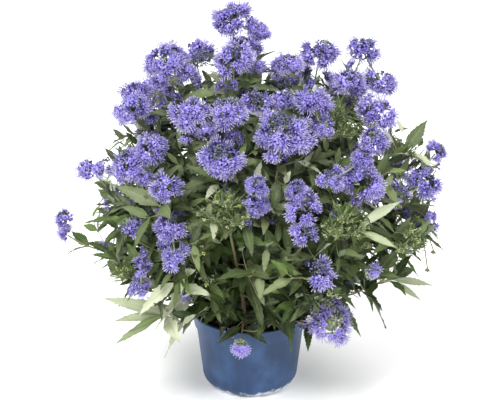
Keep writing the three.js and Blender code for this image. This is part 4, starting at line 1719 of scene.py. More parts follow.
@dataclass
class LeafyStem:
    """One stem that comes out of the soil: its wood, its leaves and its bunches of green buds."""

    plan: StemPlan
    index: int
    crown: Crown
    sides: int = 6
    node_swelling: float = 0.2
    wood_share: float = 0.9
    tip_thinner: float = 0.3
    leaf_spacing: float = 27.0
    first_pair: float = 16.0
    keep_from_pair: float = 11.0
    longest_more: float = 58.0
    shortest_more: float = 32.0
    grown_before: float = 110.0
    lowest_leaf: float = 132.0
    axil: LeafWay = LeafWay(0.0, 0.5, 0.1, -0.5)
    inside: float = 150.0
    silver_share: float = 0.1
    dry_share: float = 0.045
    dry_below: float = 235.0
    over_outline: float = 22.0
    shoot_over: float = 60.0
    fan_slender: float = 0.6
    fan_droop: float = 0.14
    dangler_calyces: int = 7
    dangler_cone: float = 0.9
    calyx_size: float = 1.7
    calyx_out: float = 2.6
    twig_spacing: float = 21.0
    twig_sides: int = 4
    twig_points: int = 5
    twig_radius: float = 0.9
    shortest_twig: float = 34.0
    longest_twig: float = 62.0
    twig_leaf: float = 46.0
    twig_pairs: tuple[tuple[float, float], ...] = ((0.3, 1.05), (0.62, 1.0), (0.97, 0.72))
    fullest: int = 6
    twig_buds: float = 0.14
    buds_above: float = 190.0
    buds_within: float = 45.0

    def build(self, materials: list[Material]) -> Piece:
        """Makes the stem's piece.

        Args:
            materials: the stem's finishes, in the order of their numbers.

        Returns:
            The stem's piece.
        """
        node = f"stem_{self.plan.name}"
        piece = Gathered()
        paths = stem_paths(self.plan)
        for path in paths:
            self.add_wood(piece, path)
        seats = self.packed_points(node)
        for p, path in enumerate(paths):
            self.add_planned_leaves(piece, path, p, seats)
            self.add_more_leaves(piece, path, p)
        for p, path in enumerate(paths):
            self.add_side_twigs(piece, path, p)
        for shoot in self.plan.shoots:
            self.add_fan(piece, vec(*shoot.end), shoot.fan)
            if shoot is self.plan.shoots[-1]:
                self.add_danglers(piece, vec(*shoot.end))
            if shoot.tuft:
                BudBunch(vec(*shoot.end), shoot.tuft).add_to(piece, SEED_BUDS + 1000 * self.index + 900)
        for b, bunch in enumerate(self.plan.bunches):
            self.add_fan(piece, vec(*bunch.places[-1][:3]), bunch.fan)
            for i, (*middle, radius) in enumerate(bunch.places):
                BudBunch(vec(*middle), radius).add_to(piece, SEED_BUDS + 1000 * self.index + 100 * b + i)
        return settle(piece.build(f"leafy_stem_{self.plan.name}", materials), node)

    @staticmethod
    def packed_points(node: str) -> kdtree.KDTree:
        """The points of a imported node's mesh, for finding which leaves its solid has.

        Args:
            node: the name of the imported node.

        Returns:
            A tree that finds the points nearest to a place.
        """
        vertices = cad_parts[node].data.vertices
        tree = kdtree.KDTree(len(vertices))
        for i, vertex in enumerate(vertices):
            tree.insert(vertex.co, i)
        tree.balance()
        return tree

    @staticmethod
    def is_packed(leaf: Leaf, seats: kdtree.KDTree) -> bool:
        """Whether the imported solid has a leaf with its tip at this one's."""
        return seats.find(Vector(leaf.centre(1.0) * MM))[2] <= SAME_PLACE * MM

    def add_wood(self, piece: Gathered, path: Path) -> None:
        """Adds a path's wood, brown and thick at the foot and green and thin at the tip.

        Args:
            piece: what the wood is added to.
            path: the path that it follows.
        """
        points = path.fine_points()
        share = np.linspace(0, 1, len(points))
        thinner = path.kind.radius - TIP_RADIUS + self.tip_thinner
        radii = self.wood_share * (path.kind.radius - thinner * share)
        radii = radii * (1 + self.node_swelling * (np.arange(len(points)) % 3 == 0))
        greener = 0.12 if path.kind is PathKind.TRUNK else 0.37
        tone = np.clip(greener + 0.88 * ramp(points[:, 2], 210, 400), 0, 1)
        piece.add_tube(points, radii, self.sides, Tissue.BARK, tone, capped=True)

    def on_curve(self, path: Path, leaf: Leaf) -> Leaf:
        """Moves a leaf from the solid's straight stretches onto the fine stem's curve.

        Args:
            path: the path that the leaf grows on.
            leaf: the leaf to move.

        Returns:
            The same leaf at its new root.
        """
        points = path.fine_points(2.0)
        leaf.root = points[np.argmin(np.linalg.norm(points - leaf.root, axis=1))]
        return leaf

    def tints(self, path: Path, leaf: Leaf, seed: int) -> Tints:
        """The tints of a leaf: some are felted silver, and low ones are greener. Low and inner ones are
        darker and high ones lighter, as painted shade and painted light.

        Args:
            path: the path that the leaf grows on.
            leaf: the leaf, with its place.
            seed: the seed of its draws.

        Returns:
            The leaf's tone, and how far its green is that of young growth.
        """
        if path.pale:
            return PALE_TONE + PALE_TONE_SPREAD * draw(seed, 24), PALE_FRESH
        # Leaves deep in the crown are painted darker and are rarely silver: painted shade inside the crown
        inner = ramp(np.linalg.norm(leaf.root - HEART), *INNER_SHADE_REACHES)
        rise = ramp(leaf.root[2], *RISE_HEIGHTS)
        if draw(seed, 22) < self.silver_share * (1 - 0.7 * inner) * (0.2 + 0.8 * rise):
            # Silver leaves are painted lighter the higher they grow: painted light
            return SILVER_TONE + SILVER_PAINTED_LIGHT_RISE * rise + SILVER_TONE_SPREAD * draw(seed, 24), SILVER_FRESH
        spread = (GREEN_TONE_SPREAD + GREEN_SPREAD_RISE * rise) * swing(seed, 21)
        # Green leaves are painted darker low down and lighter high up: painted shade and painted light
        tone = GREEN_TONE + GREEN_PAINTED_LIGHT_RISE * rise + spread - INNER_PAINTED_SHADE * inner
        fresh = LOW_FRESH - FRESH_FALL * rise + FRESH_SPREAD * swing(seed, 23)
        return min(MOST_GREEN_TONE, max(0.0, tone)), min(1.0, max(0.0, fresh))

    def add_planned_leaves(self, piece: Gathered, path: Path, p: int, seats: kdtree.KDTree) -> None:
        """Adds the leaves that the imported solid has, in the way that each was bent there.

        Args:
            piece: what the leaves are added to.
            path: the path that they grow on.
            p: the number of that path in its stem.
            seats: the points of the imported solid.
        """
        for index, (size_name, before) in enumerate(LEAF_PAIRS[path.kind]):
            spot = place_before(path.solid_points(), before)
            if spot is None or spot[0][2] < SOIL_TOP + CLEAR_OF_SOIL:
                continue
            seed = SEED_LEAVES + 1000 * self.index + 20 * p + index
            length, crossed = LEAF_LENGTHS[size_name], (index % 2) * math.pi / 2
            for side in (0, 1):
                tried = (Leaf.at(spot, length, crossed, side, bend, seed) for bend in LEAF_WAYS)
                leaf = next((leaf for leaf in tried if self.is_packed(leaf, seats)), None)
                if leaf is None:
                    continue
                leaf = self.on_curve(path, leaf)
                self.crown.count(leaf)
                BROAD_BLADE.add_to(piece, leaf, self.tints(path, leaf, seed + side), seed + side)

    def add_fan(self, piece: Gathered, root: Array, fan: tuple[Triple, ...]) -> None:
        """Adds long pale leaves that fan out from one place.

        Args:
            piece: what the leaves are added to.
            root: the place that they grow from.
            fan: the way from root to tip of each leaf.
        """
        for i, way in enumerate(fan):
            size = float(np.linalg.norm(way))
            along = vec(*way) / size
            leaf = Leaf(root, along, unit(np.cross(along, FAN_FACE)), size, self.fan_droop, self.fan_slender)
            FAN_BLADE.add_to(piece, leaf, (FAN_TONE - FAN_TONE_FALL * i, FAN_FRESH), i)

    def add_danglers(self, piece: Gathered, root: Array) -> None:
        """Adds thin stalks that hang from a place, each with the dry calyces of a spent cyme at its end.

        Args:
            piece: what the danglers are added to.
            root: the place that they hang from.
        """
        count = self.dangler_calyces
        for i, way in enumerate(self.plan.danglers):
            end = root + vec(*way)
            knee = root + vec(way[0], way[1], 0.15 * way[2]) * 0.6
            piece.add_tube((root, knee, end), (1.1, 0.9, 0.9), self.twig_sides, Tissue.BARK)
            shake = 0.2 * vec(swing(i, 1), swing(i, 2), 0)
            ways = unit(sphere_spread(count, 0, self.dangler_cone) * vec(1, 1, -1) + shake)
            sizes, shades = np.full(count, self.calyx_size), np.zeros(count)
            piece.add_copies(DRY_CALYX, end + self.calyx_out * ways, ways, shades, sizes, shades)

    def add_more_leaves(self, piece: Gathered, path: Path, p: int) -> None:
        """Adds pairs between the planned ones, and small axil leaves beside every second pair.

        Args:
            piece: what the leaves are added to.
            path: the path that they grow on.
            p: the number of that path in its stem.
        """
        if path.kind is PathKind.TWIG:
            return
        points = path.solid_points()
        for n in range(int((length_of(points) - self.first_pair) / self.leaf_spacing)):
            seed = SEED_MORE_LEAVES + 2000 * self.index + 60 * p + n
            before = self.first_pair + self.leaf_spacing * (n + 0.25 * swing(seed, 9))
            spot = place_before(points, before)
            if spot is None or spot[0][2] < self.lowest_leaf:
                continue
            grown = ramp(before, 0, self.grown_before)
            longest = self.shortest_more + (self.longest_more - self.shortest_more) * grown
            crossed = (n % 2) * math.pi / 2 + 0.4 * swing(seed, 10)
            if all(abs(before - planned) >= self.keep_from_pair for _, planned in LEAF_PAIRS[path.kind]):
                self.add_pair(piece, path, spot, longest, crossed, LeafWay(), seed)
            if n % 2:
                self.add_pair(piece, path, spot, longest, crossed, self.axil, seed + 7)

    def add_pair(
        self, piece: Gathered, path: Path, spot: Spot, length: float, crossed: float, bend: LeafWay, seed: int
    ) -> None:
        """Adds both leaves of a pair where they grow clear.

        Args:
            piece: what they are added to.
            path: the path that they grow from.
            spot: where they grow.
            length: their usual length.
            crossed: their turn round the stem.
            bend: how they are bent.
            seed: the number that names their draws.
        """
        slack = self.shoot_over if path.kind is PathKind.SHOOT else self.over_outline
        for side in (0, 1):
            leaf = Leaf.at(spot, length, crossed, side, bend, seed)
            if not self.crown.is_clear(leaf, path.pale) or not self.crown.holds(leaf.centre(1.0), slack):
                continue
            self.crown.count(leaf)
            outer = np.linalg.norm(leaf.root - HEART) > self.inside
            blade = TOOTHED_BLADE if outer and bend.size > 0.7 else INNER_BLADE
            dry = draw(seed, side, 25) < self.dry_share and not outer and leaf.root[2] < self.dry_below
            finish = Tissue.DRY if dry else Tissue.LEAF_TOP
            leaf = self.on_curve(path, leaf)
            blade.add_to(piece, leaf, self.tints(path, leaf, seed + side), seed + side, finish)

    def add_side_twigs(self, piece: Gathered, path: Path, p: int) -> None:
        """Adds short leafy twigs beside a path, wherever the crown still has room for them.

        Args:
            piece: what the twigs are added to.
            path: the path that they grow on.
            p: the number of that path in its stem.
        """
        if path.kind is PathKind.TWIG:
            return
        points = path.solid_points()
        length = length_of(points)
        for n in range(int(0.85 * length / self.twig_spacing)):
            spot = place_before(points, 0.12 * length + self.twig_spacing * n)
            if spot is None or spot[0][2] < self.lowest_leaf - 14:
                continue
            for side in range(3):
                seed = SEED_TWIGS + 3000 * self.index + 200 * p + 4 * n + side
                self.add_side_twig(piece, path, spot, 2.1 * side + 2.4 * n, seed)

    def add_side_twig(self, piece: Gathered, path: Path, spot: Spot, turn: float, seed: int) -> None:
        """Adds one side twig with its pairs of leaves.

        Args:
            piece: what it is added to.
            path: the path that it grows from.
            spot: where it leaves that path.
            turn: its angle round the path.
            seed: the number that names its draws.
        """
        start, way = spot
        outward = square_to(way, turn + 0.7 * swing(seed, 1))
        away = unit(vec(start[0], start[1], 0.01))
        grow = unit(0.5 * way + 0.95 * outward + 0.3 * away + vec(0, 0, 0.15))
        end = start + grow * (self.shortest_twig + (self.longest_twig - self.shortest_twig) * draw(seed, 2))
        if not self.has_room(path, start, end):
            return
        twig = Path.between(PathKind.TWIG, start, grow, (end, unit(grow + vec(0, 0, 0.5))), path.pale)
        points = twig.point(np.linspace(0, 1, self.twig_points))
        radii = np.linspace(self.twig_radius, 0.45 * self.twig_radius, self.twig_points)
        tone = max(0.25, float(ramp(start[2], 120, 340)))
        piece.add_tube(points, radii, self.twig_sides, Tissue.BARK, tone)
        for k, (share, larger) in enumerate(self.twig_pairs):
            place = (twig.point(share), unit(twig.point(min(1.0, share + 0.03)) - twig.point(share - 0.03)))
            size = self.twig_leaf * larger * (0.85 + 0.3 * draw(seed, 3))
            crossed = (k % 2) * math.pi / 2 + turn
            self.add_pair(piece, twig, place, size, crossed, LeafWay(0, 1, 0, -0.15 * k), seed + 7 * k + 1)
        held = not self.crown.holds(end, -self.buds_within)
        if draw(seed, 5) < self.twig_buds and held and end[2] > self.buds_above:
            BudBunch(end, 7.5, 6, 5, 14).add_to(piece, seed)

    def has_room(self, path: Path, start: Array, end: Array) -> bool:
        """Whether the crown has room for a side twig from one place to another.

        Args:
            path: the path that the twig would grow on.
            start: where the twig would start.
            end: where the twig would end.

        Returns:
            Whether there is room.
        """
        crown = self.crown
        slack = 0.5 * self.shoot_over if path.kind is PathKind.SHOOT else 0.0
        cell = crown.key(start + (end - start) * 0.8)
        if not crown.holds(end, slack) or crown.leaves[cell] >= self.fullest:
            return False
        if crown.clearance(end) < 2 or crown.hides_wood(end) or crown.hides_wood((start + end) / 2):
            return False
        return end[2] >= self.lowest_leaf - 20 or math.hypot(end[0], end[1]) >= crown.pot.rim_radius + 12


BEAD_SIDES = 4
BEAD_RINGS = ((0.95, -0.3), (0.85, 0.8))
BEAD_ENDS = (-1.0, 1.5)


def bead(finish: int, tone: float, tip_painted_highlight: float, longer: float = 1.0) -> Form:
    """A small bud round +Z: rings between two points.

    Args:
        finish: the number of its finish.
        tone: its tone at its middle.
        tip_painted_highlight: how much its tone rises in a radius towards its tip, a painted highlight there.
        longer: how long it is for its width.

    Returns:
        The bud.
    """
    rings = [ring(radius, height, BEAD_SIDES) for radius, height in BEAD_RINGS]
    points = np.vstack([(0, 0, BEAD_ENDS[0]), *rings, (0, 0, BEAD_ENDS[1])])
    last = len(points) - 1
    around = [(k, (k + 1) % BEAD_SIDES) for k in range(BEAD_SIDES)]
    first_end = [(0, 1 + b, 1 + a) for a, b in around]
    last_end = [(last - BEAD_SIDES + a, last - BEAD_SIDES + b, last) for a, b in around]
    triangles = np.vstack([first_end, ring_triangles(len(BEAD_RINGS), BEAD_SIDES) + 1, last_end])
    # The tip faces out of its head or bunch and is painted lighter: a painted highlight
    tones = tone + tip_painted_highlight * points[:, 2]
    return Form(points * vec(1, 1, longer), triangles, np.full(len(triangles), finish), tones)


GREEN_BEAD = bead(Tissue.GREEN_BUD, 0.42, 0.3)
DRY_CALYX = bead(Tissue.GREEN_BUD, 0.3, 0.0, 1.5)


@dataclass
class BudBunch:
    """A bunch of unopened green buds: clusters on stalks that spread from one point, and narrow bracts."""

    middle: Array
    radius: float
    clusters: int = 20
    cluster_buds: int = 6
    bracts: int = 56
    bud_radius: float = 1.05
    bract_length: float = 1.35
    spread: float = 62.0
    lift: float = 0.55
    nearest: float = 0.75
    furthest: float = 2.15
    bud_out: float = 1.9
    far_darker: float = 0.2
    high_darker: float = 0.24
    high: tuple[float, float] = (340, 390)

    def add_to(self, piece: Gathered, seed: int) -> None:
        """Adds the bunch to its stem's piece. High ones are a darker grey-green.

        Args:
            piece: what the bunch is added to.
            seed: the seed of its draws.
        """
        axis = head_axis(self.middle)
        up = unit(axis + vec(0, 0, self.lift))
        base = self.middle - axis * self.radius * 0.95
        darker = self.high_darker * ramp(self.middle[2], *self.high)
        for i, way in enumerate(turned(sphere_spread(self.clusters, 0, math.radians(self.spread)), up)):
            way = unit(way + 0.2 * vec(*(swing(seed, i, k) for k in (1, 2, 3))))
            far = self.nearest + (self.furthest - self.nearest) * draw(seed, i, 4)
            tip = base + way * (self.radius * far)
            piece.add_tube((base, tip), (0.7, 0.3), 3, Tissue.GREEN_BUD, 0.75)
            outs = turned(sphere_spread(self.cluster_buds, 0, math.radians(100)), way)
            jitter = np.array([[swing(seed, i, k, key) for key in (5, 6)] for k in range(self.cluster_buds)])
            places = tip + outs * (self.bud_out + 0.8 * jitter[:, :1])
            sizes = self.bud_radius * (0.9 + 0.3 * jitter[:, 1])
            shades = 0.25 * jitter[:, 1] - self.far_darker * (far - 1.4) - darker
            piece.add_copies(GREEN_BEAD, places, outs, jitter[:, 0] * 3, sizes, shades)
        for i, way in enumerate(turned(sphere_spread(self.bracts, 0, math.radians(self.spread + 14)), up)):
            root = base + way * self.radius * (0.3 + 0.9 * draw(seed, 52, i))
            grow = unit(way + 0.5 * up + 0.35 * vec(*(swing(seed, key, i) for key in (53, 54, 55))))
            size = self.bract_length * self.radius * (1 + 0.35 * swing(seed, 50, i))
            leaf = Leaf(root, grow, unit(np.cross(grow, up + vec(0.01, 0.02, 0))), size, 0.05)
            BRACT_BLADE.add_to(piece, leaf, (0.58 + 0.2 * swing(seed, 51, i), 0.7), seed + i)


# Flower heads


@dataclass
class Floret:
    """One floret on +Z: a stalked calyx, a tube with five lobes, and stamens that reach far out of it.

    Its real size is about 8 mm across. The stamens are drawn twice as thick as in life, so that they
    show from a step away.
    """

    stalk: float = 4.0
    calyx_foot: float = 0.4
    calyx_radius: float = 1.6
    calyx_height: float = 2.8
    tube_foot: float = 1.5
    tube_height: float = 5.4
    tube_radius: float = 1.2
    lobe_length: float = 3.3
    lobe_width: float = 2.8
    lip_length: float = 4.5
    lip_wider: float = 1.25
    stamens: int = 5
    stamen_height: float = 13.2
    stamen_shorter: float = 1.3
    stamen_spread: float = 3.5
    style_spread: float = 1.4
    stamen_radius: float = 0.5
    anther: float = 1.1
    bud_scale: float = 1.7

    def open_form(self) -> Form:
        """The floret while it is open.

        Returns:
            The form that open florets are copies of.
        """
        made = Gathered()
        self.add_cup(made)
        for lobe in range(5):
            self.add_lobe(made, lobe)
        for stamen in range(self.stamens):
            self.add_stamen(made, stamen)
        return made.form()

    def bud_form(self) -> Form:
        """The floret while its corolla is still a round violet bud.

        Returns:
            The form that florets in bud are copies of.
        """
        made = Gathered()
        self.add_cup(made)
        bud = bead(Bloom.PETAL, 0.22, 0.12)
        made.add(bud.points * self.bud_scale + UP * self.tube_height, bud.triangles, Bloom.PETAL, bud.tones)
        return made.form()

    def add_cup(self, made: Gathered) -> None:
        """Adds the calyx on its stalk, and the tube.

        Args:
            made: what the calyx and the tube are added to.
        """
        calyx = (self.calyx_foot, -self.stalk), (self.calyx_radius, self.calyx_height)
        tube = (0.8, self.tube_foot), (self.tube_radius, self.tube_height)
        # The calyx's foot and the tube take the lowest tones: painted shade deep in the head
        for ends, finish, tones in ((calyx, Bloom.CALYX, (0.1, 0.5)), (tube, Bloom.PETAL, (0.0, 0.1))):
            rings = np.vstack([ring(radius, height, 4) for radius, height in ends])
            made.add(rings, ring_triangles(2, 4), finish, np.repeat(tones, 4))

    def add_lobe(self, made: Gathered, lobe: int) -> None:
        """Adds one petal lobe; the first is the longer, fringed lip.

        Args:
            made: what the lobe is added to.
            lobe: the number of the lobe.
        """
        lip = lobe == 0
        length = self.lip_length if lip else self.lobe_length
        half = self.lobe_width / 2 * (self.lip_wider if lip else 1)
        root, z = self.tube_radius * 0.7, self.tube_height
        out = self.tube_radius + length
        middle, tip = out - length * 0.42, z + (-0.9 if lip else 0.9)
        pairs = ((root, half * 0.5, z - 0.3), (middle, half, z + 1.3))
        flat = [(x, y * side, height) for x, y, height in pairs for side in (-1, 1)] + [(out, 0, tip)]
        triangles = [(0, 2, 1), (1, 2, 3), (2, 4, 3)]
        if lip:
            flat += [(out, -half * 0.8, tip), (out, half * 0.8, tip)]
            triangles += [(2, 5, 4), (4, 6, 3)]
        # Lobes are darkest at their roots in the throat: partly the corolla's own deeper colour, partly
        # painted shade
        tones = np.array([0.0, 0.0, 0.68, 0.68, 1.0, 0.9, 0.9])[: len(flat)]
        made.add(np.array(flat) @ spun(2 * math.pi * lobe / 5), np.array(triangles), Bloom.PETAL, tones)

    def add_stamen(self, made: Gathered, stamen: int) -> None:
        """Adds one stamen that leans out and widens to its anther; the first is the style, without one.

        Args:
            made: what the stamen is added to.
            stamen: the number of the stamen.
        """
        style = stamen == 0
        out = vec(*polar(1, 2 * math.pi * (stamen + 0.5) / self.stamens, 0))
        height = self.stamen_height - (self.stamen_shorter if stamen % 2 else 0)
        tip = out * (self.style_spread if style else self.stamen_spread) + UP * height
        root = out * 0.4 + UP * (self.tube_height - 1.5)
        end = rings_along(np.array([root, tip]), (0.0, self.stamen_radius), 3)[3:]
        sides = np.array([(0, 1, 2), (0, 2, 3), (0, 3, 1)])
        made.add(np.vstack([root, end]), sides, Bloom.FILAMENT, np.array([0.0, 0.9, 0.9, 0.9]))
        cap = np.vstack([end, tip + unit(tip - root) * self.anther])
        finish = Bloom.FILAMENT if style else Bloom.ANTHER
        made.add(cap, np.array([(0, 3, 1), (1, 3, 2), (2, 3, 0)]), finish, 0.6)


OPEN_FLORET = Floret().open_form()
BUD_FLORET = Floret().bud_form()
FADED_FLORET = Floret(stamens=4, stamen_height=11.0).open_form()
CLOSED_BUDS = (bead(Bloom.CALYX, 0.1, 0.36), bead(Bloom.BUD, 0.1, 0.36))


@dataclass(frozen=True)
class TierLook:
    """What a stage shows.

    It says how far its closed centre reaches, how its open florets look, how many of its florets there
    are, how pale they are, how far down the tier they reach, and whether it hangs with pale calyces on
    its back.
    """

    centre: float
    floret: Form
    share: float = 1.0
    paler: float = 0.0
    lowest: float = 107.0
    bare_back: bool = False


TIER_LOOKS = {
    Stage.OPEN: TierLook(29, OPEN_FLORET),
    Stage.OPENING: TierLook(38, OPEN_FLORET, 0.95),
    Stage.CLOSED: TierLook(118, BUD_FLORET, 0.0),
    Stage.FADED: TierLook(0, FADED_FLORET, 1.0, 0.32, 72, True),
}


@dataclass(frozen=True)
class Seat:
    """Where a group of florets or buds sits: its middle, the way that it faces and its florets' scale."""

    middle: Array
    axis: Array
    scale: float

    def moved(self, points: Array) -> Array:
        """Points round +Z, moved to where the group is and faces."""
        return turned(points, self.axis, self.middle)

    def ways(self, ways: Array) -> Array:
        """Directions round +Z, turned to how the group faces."""
        return turned(ways, self.axis)


@dataclass
class FlowerHead:
    """The tiers at the end of a path: each a wreath of cymes, or fans of florets, round closed buds."""

    name: str
    spray: Spray
    seed: int
    full_size_radius: float = 22.5
    smallest: float = 0.7
    largest: float = 1.1
    large_tiers: tuple[float, float] = (16.0, 24.0)
    drooping_size: float = 0.98
    drooping_back: float = 8.0
    back_buds: tuple[float, float] = (1.35, 2.9)
    cyme_reach: float = 11.6
    cyme_area: float = 392.0
    high_fuller: float = 0.1
    top_fuller: float = 0.3
    top_from: float = 530.0
    cyme_florets: float = 12.0
    cyme_fan: float = 70.0
    shade_swing: float = 0.24
    tier_shade_swing: float = 0.08
    young_pale_and_painted_light: float = 0.38
    young_core: float = 0.25
    young_heights: tuple[float, float] = (230.0, 170.0)
    low_heights: tuple[float, float] = (430.0, 320.0)
    low_shrink: float = 0.13
    low_missing: float = 0.24
    unevenness: float = 0.28
    core_size: float = 0.34
    flatness: float = 0.84
    flatness_swing: float = 0.12
    rim_droop: float = 0.45
    tilt: float = 0.22
    bud_spacing: float = 8.5
    green_from: float = 0.8
    side_cymes: int = 12
    side_first: float = 15.0
    side_spacing: float = 15.0
    side_scale: float = 0.84
    side_closed: float = 0.22
    side_heights: tuple[float, float] = (250.0, 400.0)

    def build(self, path: Path, crown: Crown, materials: list[Material]) -> Piece:
        """Makes the head's piece.

        Args:
            path: the path that ends in it.
            crown: what its side cymes keep clear of.
            materials: its finishes, in the order of Bloom.

        Returns:
            The new object.
        """
        piece = Gathered()
        self.add_side_cymes(piece, path, crown)
        tiers = self.spray.tiers
        for t, tier in enumerate(tiers):
            self.add_tier(piece, tier, self.seed + 17 * t)
        for first, second in zip(tiers, tiers[1:]):
            sag = (first.middle + second.middle) / 2 - vec(0, 0, 2)
            piece.add_tube((first.middle, sag, second.middle), (1.3, 1.3, 1.3), 6, Bloom.CALYX, 0.6)
        return settle(piece.build(f"flower_{self.name}", materials), self.name)

    def add_side_cymes(self, piece: Gathered, path: Path, crown: Crown) -> None:
        """Adds young cymes in the leaf axils below the first tier, most of them high in the crown.

        Args:
            piece: what the cymes are added to.
            path: the path that ends in this head.
            crown: the plant's crown, which says where a cyme has room.
        """
        points = path.fine_points(4.0)
        for n in range(self.side_cymes):
            seed = self.seed + 5 * n
            before = self.side_first + self.side_spacing * (n // 2 + 0.4 * swing(seed, 60))
            spot = place_before(points, before)
            if spot is None or draw(seed, 61) > 0.12 + 0.8 * ramp(spot[0][2], *self.side_heights):
                continue
            start, way = spot
            outward = square_to(way, math.pi * (n % 2 + n // 2 / 2) + 0.8 * swing(seed, 62))
            grow = unit(outward + 0.55 * way + vec(0, 0, 0.2))
            end = start + grow * (9 + 13 * draw(seed, 63))
            if crown.clearance(end) < 1 or not crown.holds(end, 45):
                continue
            piece.add_tube((start, end), (0.8, 0.6), 4, Bloom.CALYX, 0.7)
            if draw(seed, 68) < self.side_closed:
                seat = Seat(end, grow, 0.85)
                self.add_closed_buds(piece, seat, 6.0, (0.0, 2.2), 0.0, seed)
                self.add_core(piece, seat, 5.0, 0.0)
                continue
            count, opened = 7 + int(7 * draw(seed, 64)), 0.35 + 0.6 * draw(seed, 67)
            seat = Seat(end, grow, self.side_scale)
            self.add_cyme(piece, seat, count, opened, 0.1 * swing(seed, 66), OPEN_FLORET, seed)

    def add_tier(self, piece: Gathered, tier: Tier, seed: int) -> None:
        """Adds one tier: its core, its closed buds in the middle and its cymes round them.

        Args:
            piece: what the tier is added to.
            tier: the tier, with its place, radius and stage.
            seed: the seed of its draws.
        """
        look = TIER_LOOKS[tier.stage]
        axis, middle = spray_axis(self.spray), tier.middle
        large = ramp(tier.radius, *self.large_tiers)
        radius = tier.radius * (1 - self.low_shrink * self.lowness(tier) * large)
        scale = min(self.largest, max(self.smallest, radius / self.full_size_radius))
        if look.bare_back:
            scale = max(scale, self.drooping_size)
            middle = middle - axis * self.drooping_back
        else:
            axis = unit(axis + self.tilt * vec(*(swing(seed, key) for key in (2, 3, 4))))
        seat = Seat(middle, axis, scale)
        # Young heads low in the crown get paler florets and a paler core: partly their own pale colour,
        # partly painted light that lifts them out of the crown's shade
        young = self.youth(middle[2])
        centre = math.radians(look.centre + 10 * swing(seed, 1)) * (1 - 0.3 * young)
        out = max(2.0, radius - self.cyme_reach * scale) if look.share else radius - 5
        self.add_core(piece, seat, (self.core_size + self.young_core * young) * out, young)
        buds = out + (5.4 * scale if look.share else 1)
        self.add_closed_buds(piece, seat, buds, (0.0, centre), 0.75 * young, seed)
        if look.bare_back:
            back = Seat(middle, axis, 1.25 * scale)
            self.add_closed_buds(piece, back, 9.0 * scale, self.back_buds, 0.85, seed + 1)
        if look.share:
            paler = look.paler + self.young_pale_and_painted_light * young + self.tier_shade_swing * swing(seed, 7)
            self.add_cymes(piece, tier, seat, out, centre, paler, seed)

    def youth(self, height: float) -> float:
        """How young a tier is, from 0 to 1: the lowest heads have pale green centres still."""
        return ramp(height, *self.young_heights)

    def lowness(self, tier: Tier) -> float:
        """How far a tier is one of the sparser ones below the crown's top, from 0 to 1."""
        upright = not TIER_LOOKS[tier.stage].bare_back
        return ramp(tier.z, *self.low_heights) * (1 - self.youth(tier.z)) * upright

    def add_cymes(
        self, piece: Gathered, tier: Tier, seat: Seat, out: float, centre: float, paler: float, seed: int
    ) -> None:
        """Adds a tier's cymes, each at its own distance, so that dark gaps are left between them.

        Args:
            piece: what they are added to.
            tier: the tier that they belong to.
            seat: where it sits.
            out: how far from its middle theirs are.
            centre: the polar angle that its closed centre reaches.
            paler: how much lighter its florets are than most.
            seed: the number that names the draws.
        """
        look, scale = TIER_LOOKS[tier.stage], seat.scale
        low_down = self.lowness(tier)
        top, low = 0.9 * centre + 0.12, math.radians(look.lowest - 12 * low_down + 11 * swing(seed, 5))
        area = 2 * math.pi * (out + 8 * scale) ** 2 * (math.cos(top) - math.cos(low))
        fuller = self.high_fuller * (1 - low_down) + self.top_fuller * (tier.z > self.top_from)
        count = max(3, round(area / (self.cyme_area * (1 - fuller) * scale**2)))
        shake = swings(6, range(count), seed, SEED_FLORETS)
        ways = unit(sphere_spread(count, top, low) + 0.26 * shake[:, :3])
        far = out * (1 + self.unevenness * shake[:, 3]) + 2.2 * scale * shake[:, 4]
        flat = self.flatness + self.flatness_swing * swing(seed, 6)
        middles = seat.moved(ways * far[:, None] * vec(1, 1, flat))
        tilted = np.arccos(np.clip(ways[:, 2], -1, 1))
        outs = unit(seat.ways(ways) - vec(0, 0, self.rim_droop) * np.sin(tilted)[:, None] ** 2)
        for i in range(count):
            if draw(seed, 80, i) < self.low_missing * low_down * (tier.radius > 18):
                continue
            opened = 0.95 if tilted[i] > centre + 0.5 else 0.65
            florets = max(4, round(self.cyme_florets * look.share * (1 + 0.3 * shake[i, 5])))
            cyme = Seat(middles[i], outs[i], scale * (1 + 0.1 * shake[i, 4]))
            stalk_tone = 0.3 + 0.5 * self.youth(seat.middle[2])
            piece.add_tube((seat.middle, middles[i]), (0.9, 0.7), 3, Bloom.CALYX, stalk_tone)
            shade = paler + self.shade_swing * shake[i, 3]
            self.add_cyme(piece, cyme, florets, opened, shade, look.floret, seed + 31 * (i + 1))

    def add_cyme(
        self, piece: Gathered, seat: Seat, count: int, opened: float, shade: float, floret: Form, seed: int
    ) -> None:
        """Adds one cyme: a fan of florets, some of them still in bud, on a common stalk's end.

        Args:
            piece: what it is added to.
            seat: where the florets' stalks meet.
            count: how many florets it has.
            opened: the share of them that is open.
            shade: how much lighter it is than most.
            floret: what an open one looks like.
            seed: the number that names the draws.
        """
        picks = swings(6, range(50, 50 + count), seed, SEED_FLORETS)
        ways = unit(sphere_spread(count, 0, math.radians(self.cyme_fan)) + 0.24 * picks[:, :3])
        places = seat.moved(ways * (2.6 + 1.2 * picks[:, 3:4]) * seat.scale)
        sizes = seat.scale * (0.94 + 0.12 * picks[:, 4])
        parts = (places, seat.ways(ways), 3 * picks[:, 0], sizes, shade + self.shade_swing * picks[:, 3])
        is_open = picks[:, 5] < 2 * opened - 1
        for some, form in ((is_open, floret), (~is_open, BUD_FLORET)):
            piece.add_copies(form, *(part[some] for part in parts))

